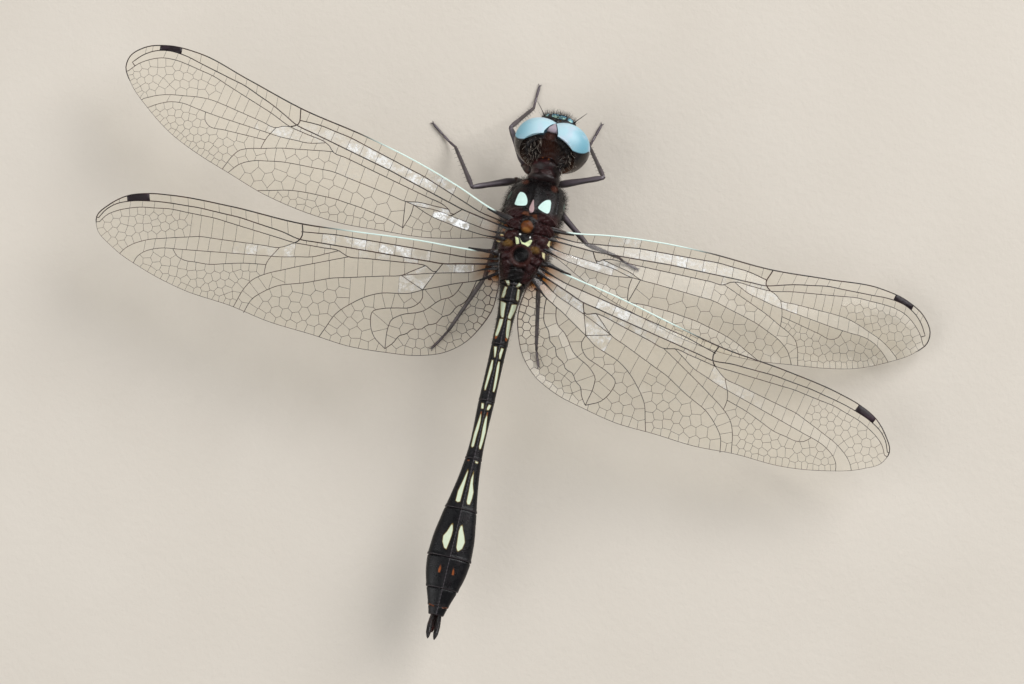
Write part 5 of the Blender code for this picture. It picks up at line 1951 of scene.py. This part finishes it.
# %% Where hairs grow
def skin_roots(obj, keep, count):
    """Random places on a piece's faces where keep says hair grows, in millimetres."""
    mesh = obj.data
    centres = np.empty(len(mesh.polygons) * 3)
    normals = np.empty(len(mesh.polygons) * 3)
    areas = np.empty(len(mesh.polygons))
    mesh.polygons.foreach_get("center", centres)
    mesh.polygons.foreach_get("normal", normals)
    mesh.polygons.foreach_get("area", areas)
    centres = centres.reshape(-1, 3) / MM - ORIGIN
    normals = normals.reshape(-1, 3)
    chance = areas * keep(centres, normals)
    picked = RANDOM.choice(len(centres), count, False, chance / chance.sum())
    return centres[picked] + RANDOM.normal(0, 0.01, (count, 3)), normals[picked]


def wrap(roots, low, high, middle):
    """Unwraps places round the body's long axis: turn one way, length the other."""
    turn = np.arctan2(roots[:, 0] - middle[0], roots[:, 2] - middle[1]) / (2 * np.pi) + 0.5
    return np.stack([turn, (roots[:, 1] - low) / (high - low)], 1).clip(0, 1)


def grow_coat(name, skin, rule, count, span, middle, length, lean, thick, finish, slot):
    """One coat of hair on a piece; span and middle place its unwrap round the long axis."""
    roots, normals = skin_roots(bpy.data.objects[skin], rule, count)
    unwrap = wrap(roots, *span, middle)
    return grow_hairs(name, roots, normals, unwrap, length, lean, thick, finish, slot)


back = wrap(np.array([(0.0, 0.0, 9.0)]), -6, 6, (0, 5.4))[0]
print("the top of the back unwraps to", back.round(2))

# %% [markdown]
# ## Thorax coat
#
# The thorax is furry on its flanks and nearly bare on the back; its pale marks carry no hair at
# all. The coat is grown in four bands, so that no one piece is heavy.

# %% Thorax coat
THORAX_BANDS = ((-5.6, -4.2), (-4.2, -2.4), (-2.4, 0.3), (0.3, 2.8))


def band_rule(low, high):
    """The rule for hair between two places along the thorax."""
    def rule(places, normals):
        """Thick on the flanks of this band, thin on its back, none on pale marks."""
        in_band = (places[:, 1] > low) & (places[:, 1] < high)
        flank = 0.05 + smooth_step(-normals[:, 2], -0.7, 0.0)
        bare = mark_depth(places[:, :2], MINT + CHEVRONS) > -0.05
        return in_band * flank * ~(bare & (normals[:, 2] > 0.3))
    return rule


for i, band in enumerate(THORAX_BANDS, 1):
    grow_coat(f"thorax_coat_{i}", "thorax_box", band_rule(*band), 1500, (-5.6, 2.8), (-0.2, 5.4),
              0.42, (0, 0.1, 0.0), 0.008, PALE, "shell_black")

# %% [markdown]
# ## Head coats
#
# The hollow back of the head is lined with brown hairs and fringed with longer silver ones that
# catch the light. Black bristles stand on the brow, and short hairs on the lips and the collar.
# One coat for all would look like felt, so each has its own length, lean and colour.

# %% Head coats
HEAD_SPAN, HEAD_MIDDLE = (-11, -5), (-0.55, 5.9)


def nape_rule(places, normals):
    """All over the back of the head."""
    return (places[:, 1] > -9.0) * (normals[:, 1] > -0.2)


def fringe_rule(places, normals):
    """Either side of the head's middle, near its hind edge."""
    return (np.abs(places[:, 0] - HEAD_MIDDLE[0]) > 0.75) * (places[:, 1] > -8.6)


def brow_rule(places, normals):
    """The part of the brow that looks forwards."""
    return 1.0 * (normals[:, 1] < -0.55)


def lip_rule(places, normals):
    """All but the side that lies against the head."""
    return 1.0 * (normals[:, 1] < 0.3)


def collar_rule(places, normals):
    """The collar's front."""
    return 1.0 * (places[:, 1] < -5.6)


grow_coat("nape_coat", "skull", nape_rule, 1300, HEAD_SPAN, HEAD_MIDDLE, 0.5, (0, 0.2, 0.3), 0.01,
          BROWN, "shell_brown")
SILVER = hair_finish("silver_hair", "#4A3A30", "#D6CCBE")
grow_coat("nape_fringe_coat", "skull", fringe_rule, 300, HEAD_SPAN, HEAD_MIDDLE, 0.55,
          (0, 0.3, 0.4), 0.018, SILVER, "shell_brown")
grow_coat("brow_coat", "frons_brow", brow_rule, 520, (-11, -9), (-0.6, 6.3), 0.42, (0, -0.5, 0.2),
          0.009, BLACK, "frons")
for lip in ("clypeus", "labrum"):
    grow_coat(lip + "_coat", lip + "_plate", lip_rule, 220, (-11, -8), (-0.6, 5.4), 0.3,
              (0, -0.3, -0.1), 0.009, BROWN, "shell_brown")
grow_coat("collar_coat", "collar", collar_rule, 500, (-7.2, -5.3), (-0.45, 5.1), 0.3,
          (0, 0.1, 0.2), 0.008, PALE, "shell_brown")

# %% [markdown]
# ## Ring coats
#
# Only the first three rings are hairy. Each has a coat of its own, so that the hairs thin out
# and shorten from ring to ring.

# %% Ring coats
def ring_rule(places, normals):
    """Mostly the flanks and the belly, and thinly on the back."""
    return 0.25 + (normals[:, 2] < 0.5)


for number, count, length in ((1, 220, 0.4), (2, 420, 0.35), (3, 420, 0.2)):
    ring = f"ring_{number:02d}"
    grow_coat(ring + "_coat", ring, ring_rule, count, (2.5, 7.6), (0, 6.1), length,
              (0, 0.3, 0.0), 0.007, PALE, "shell_black")
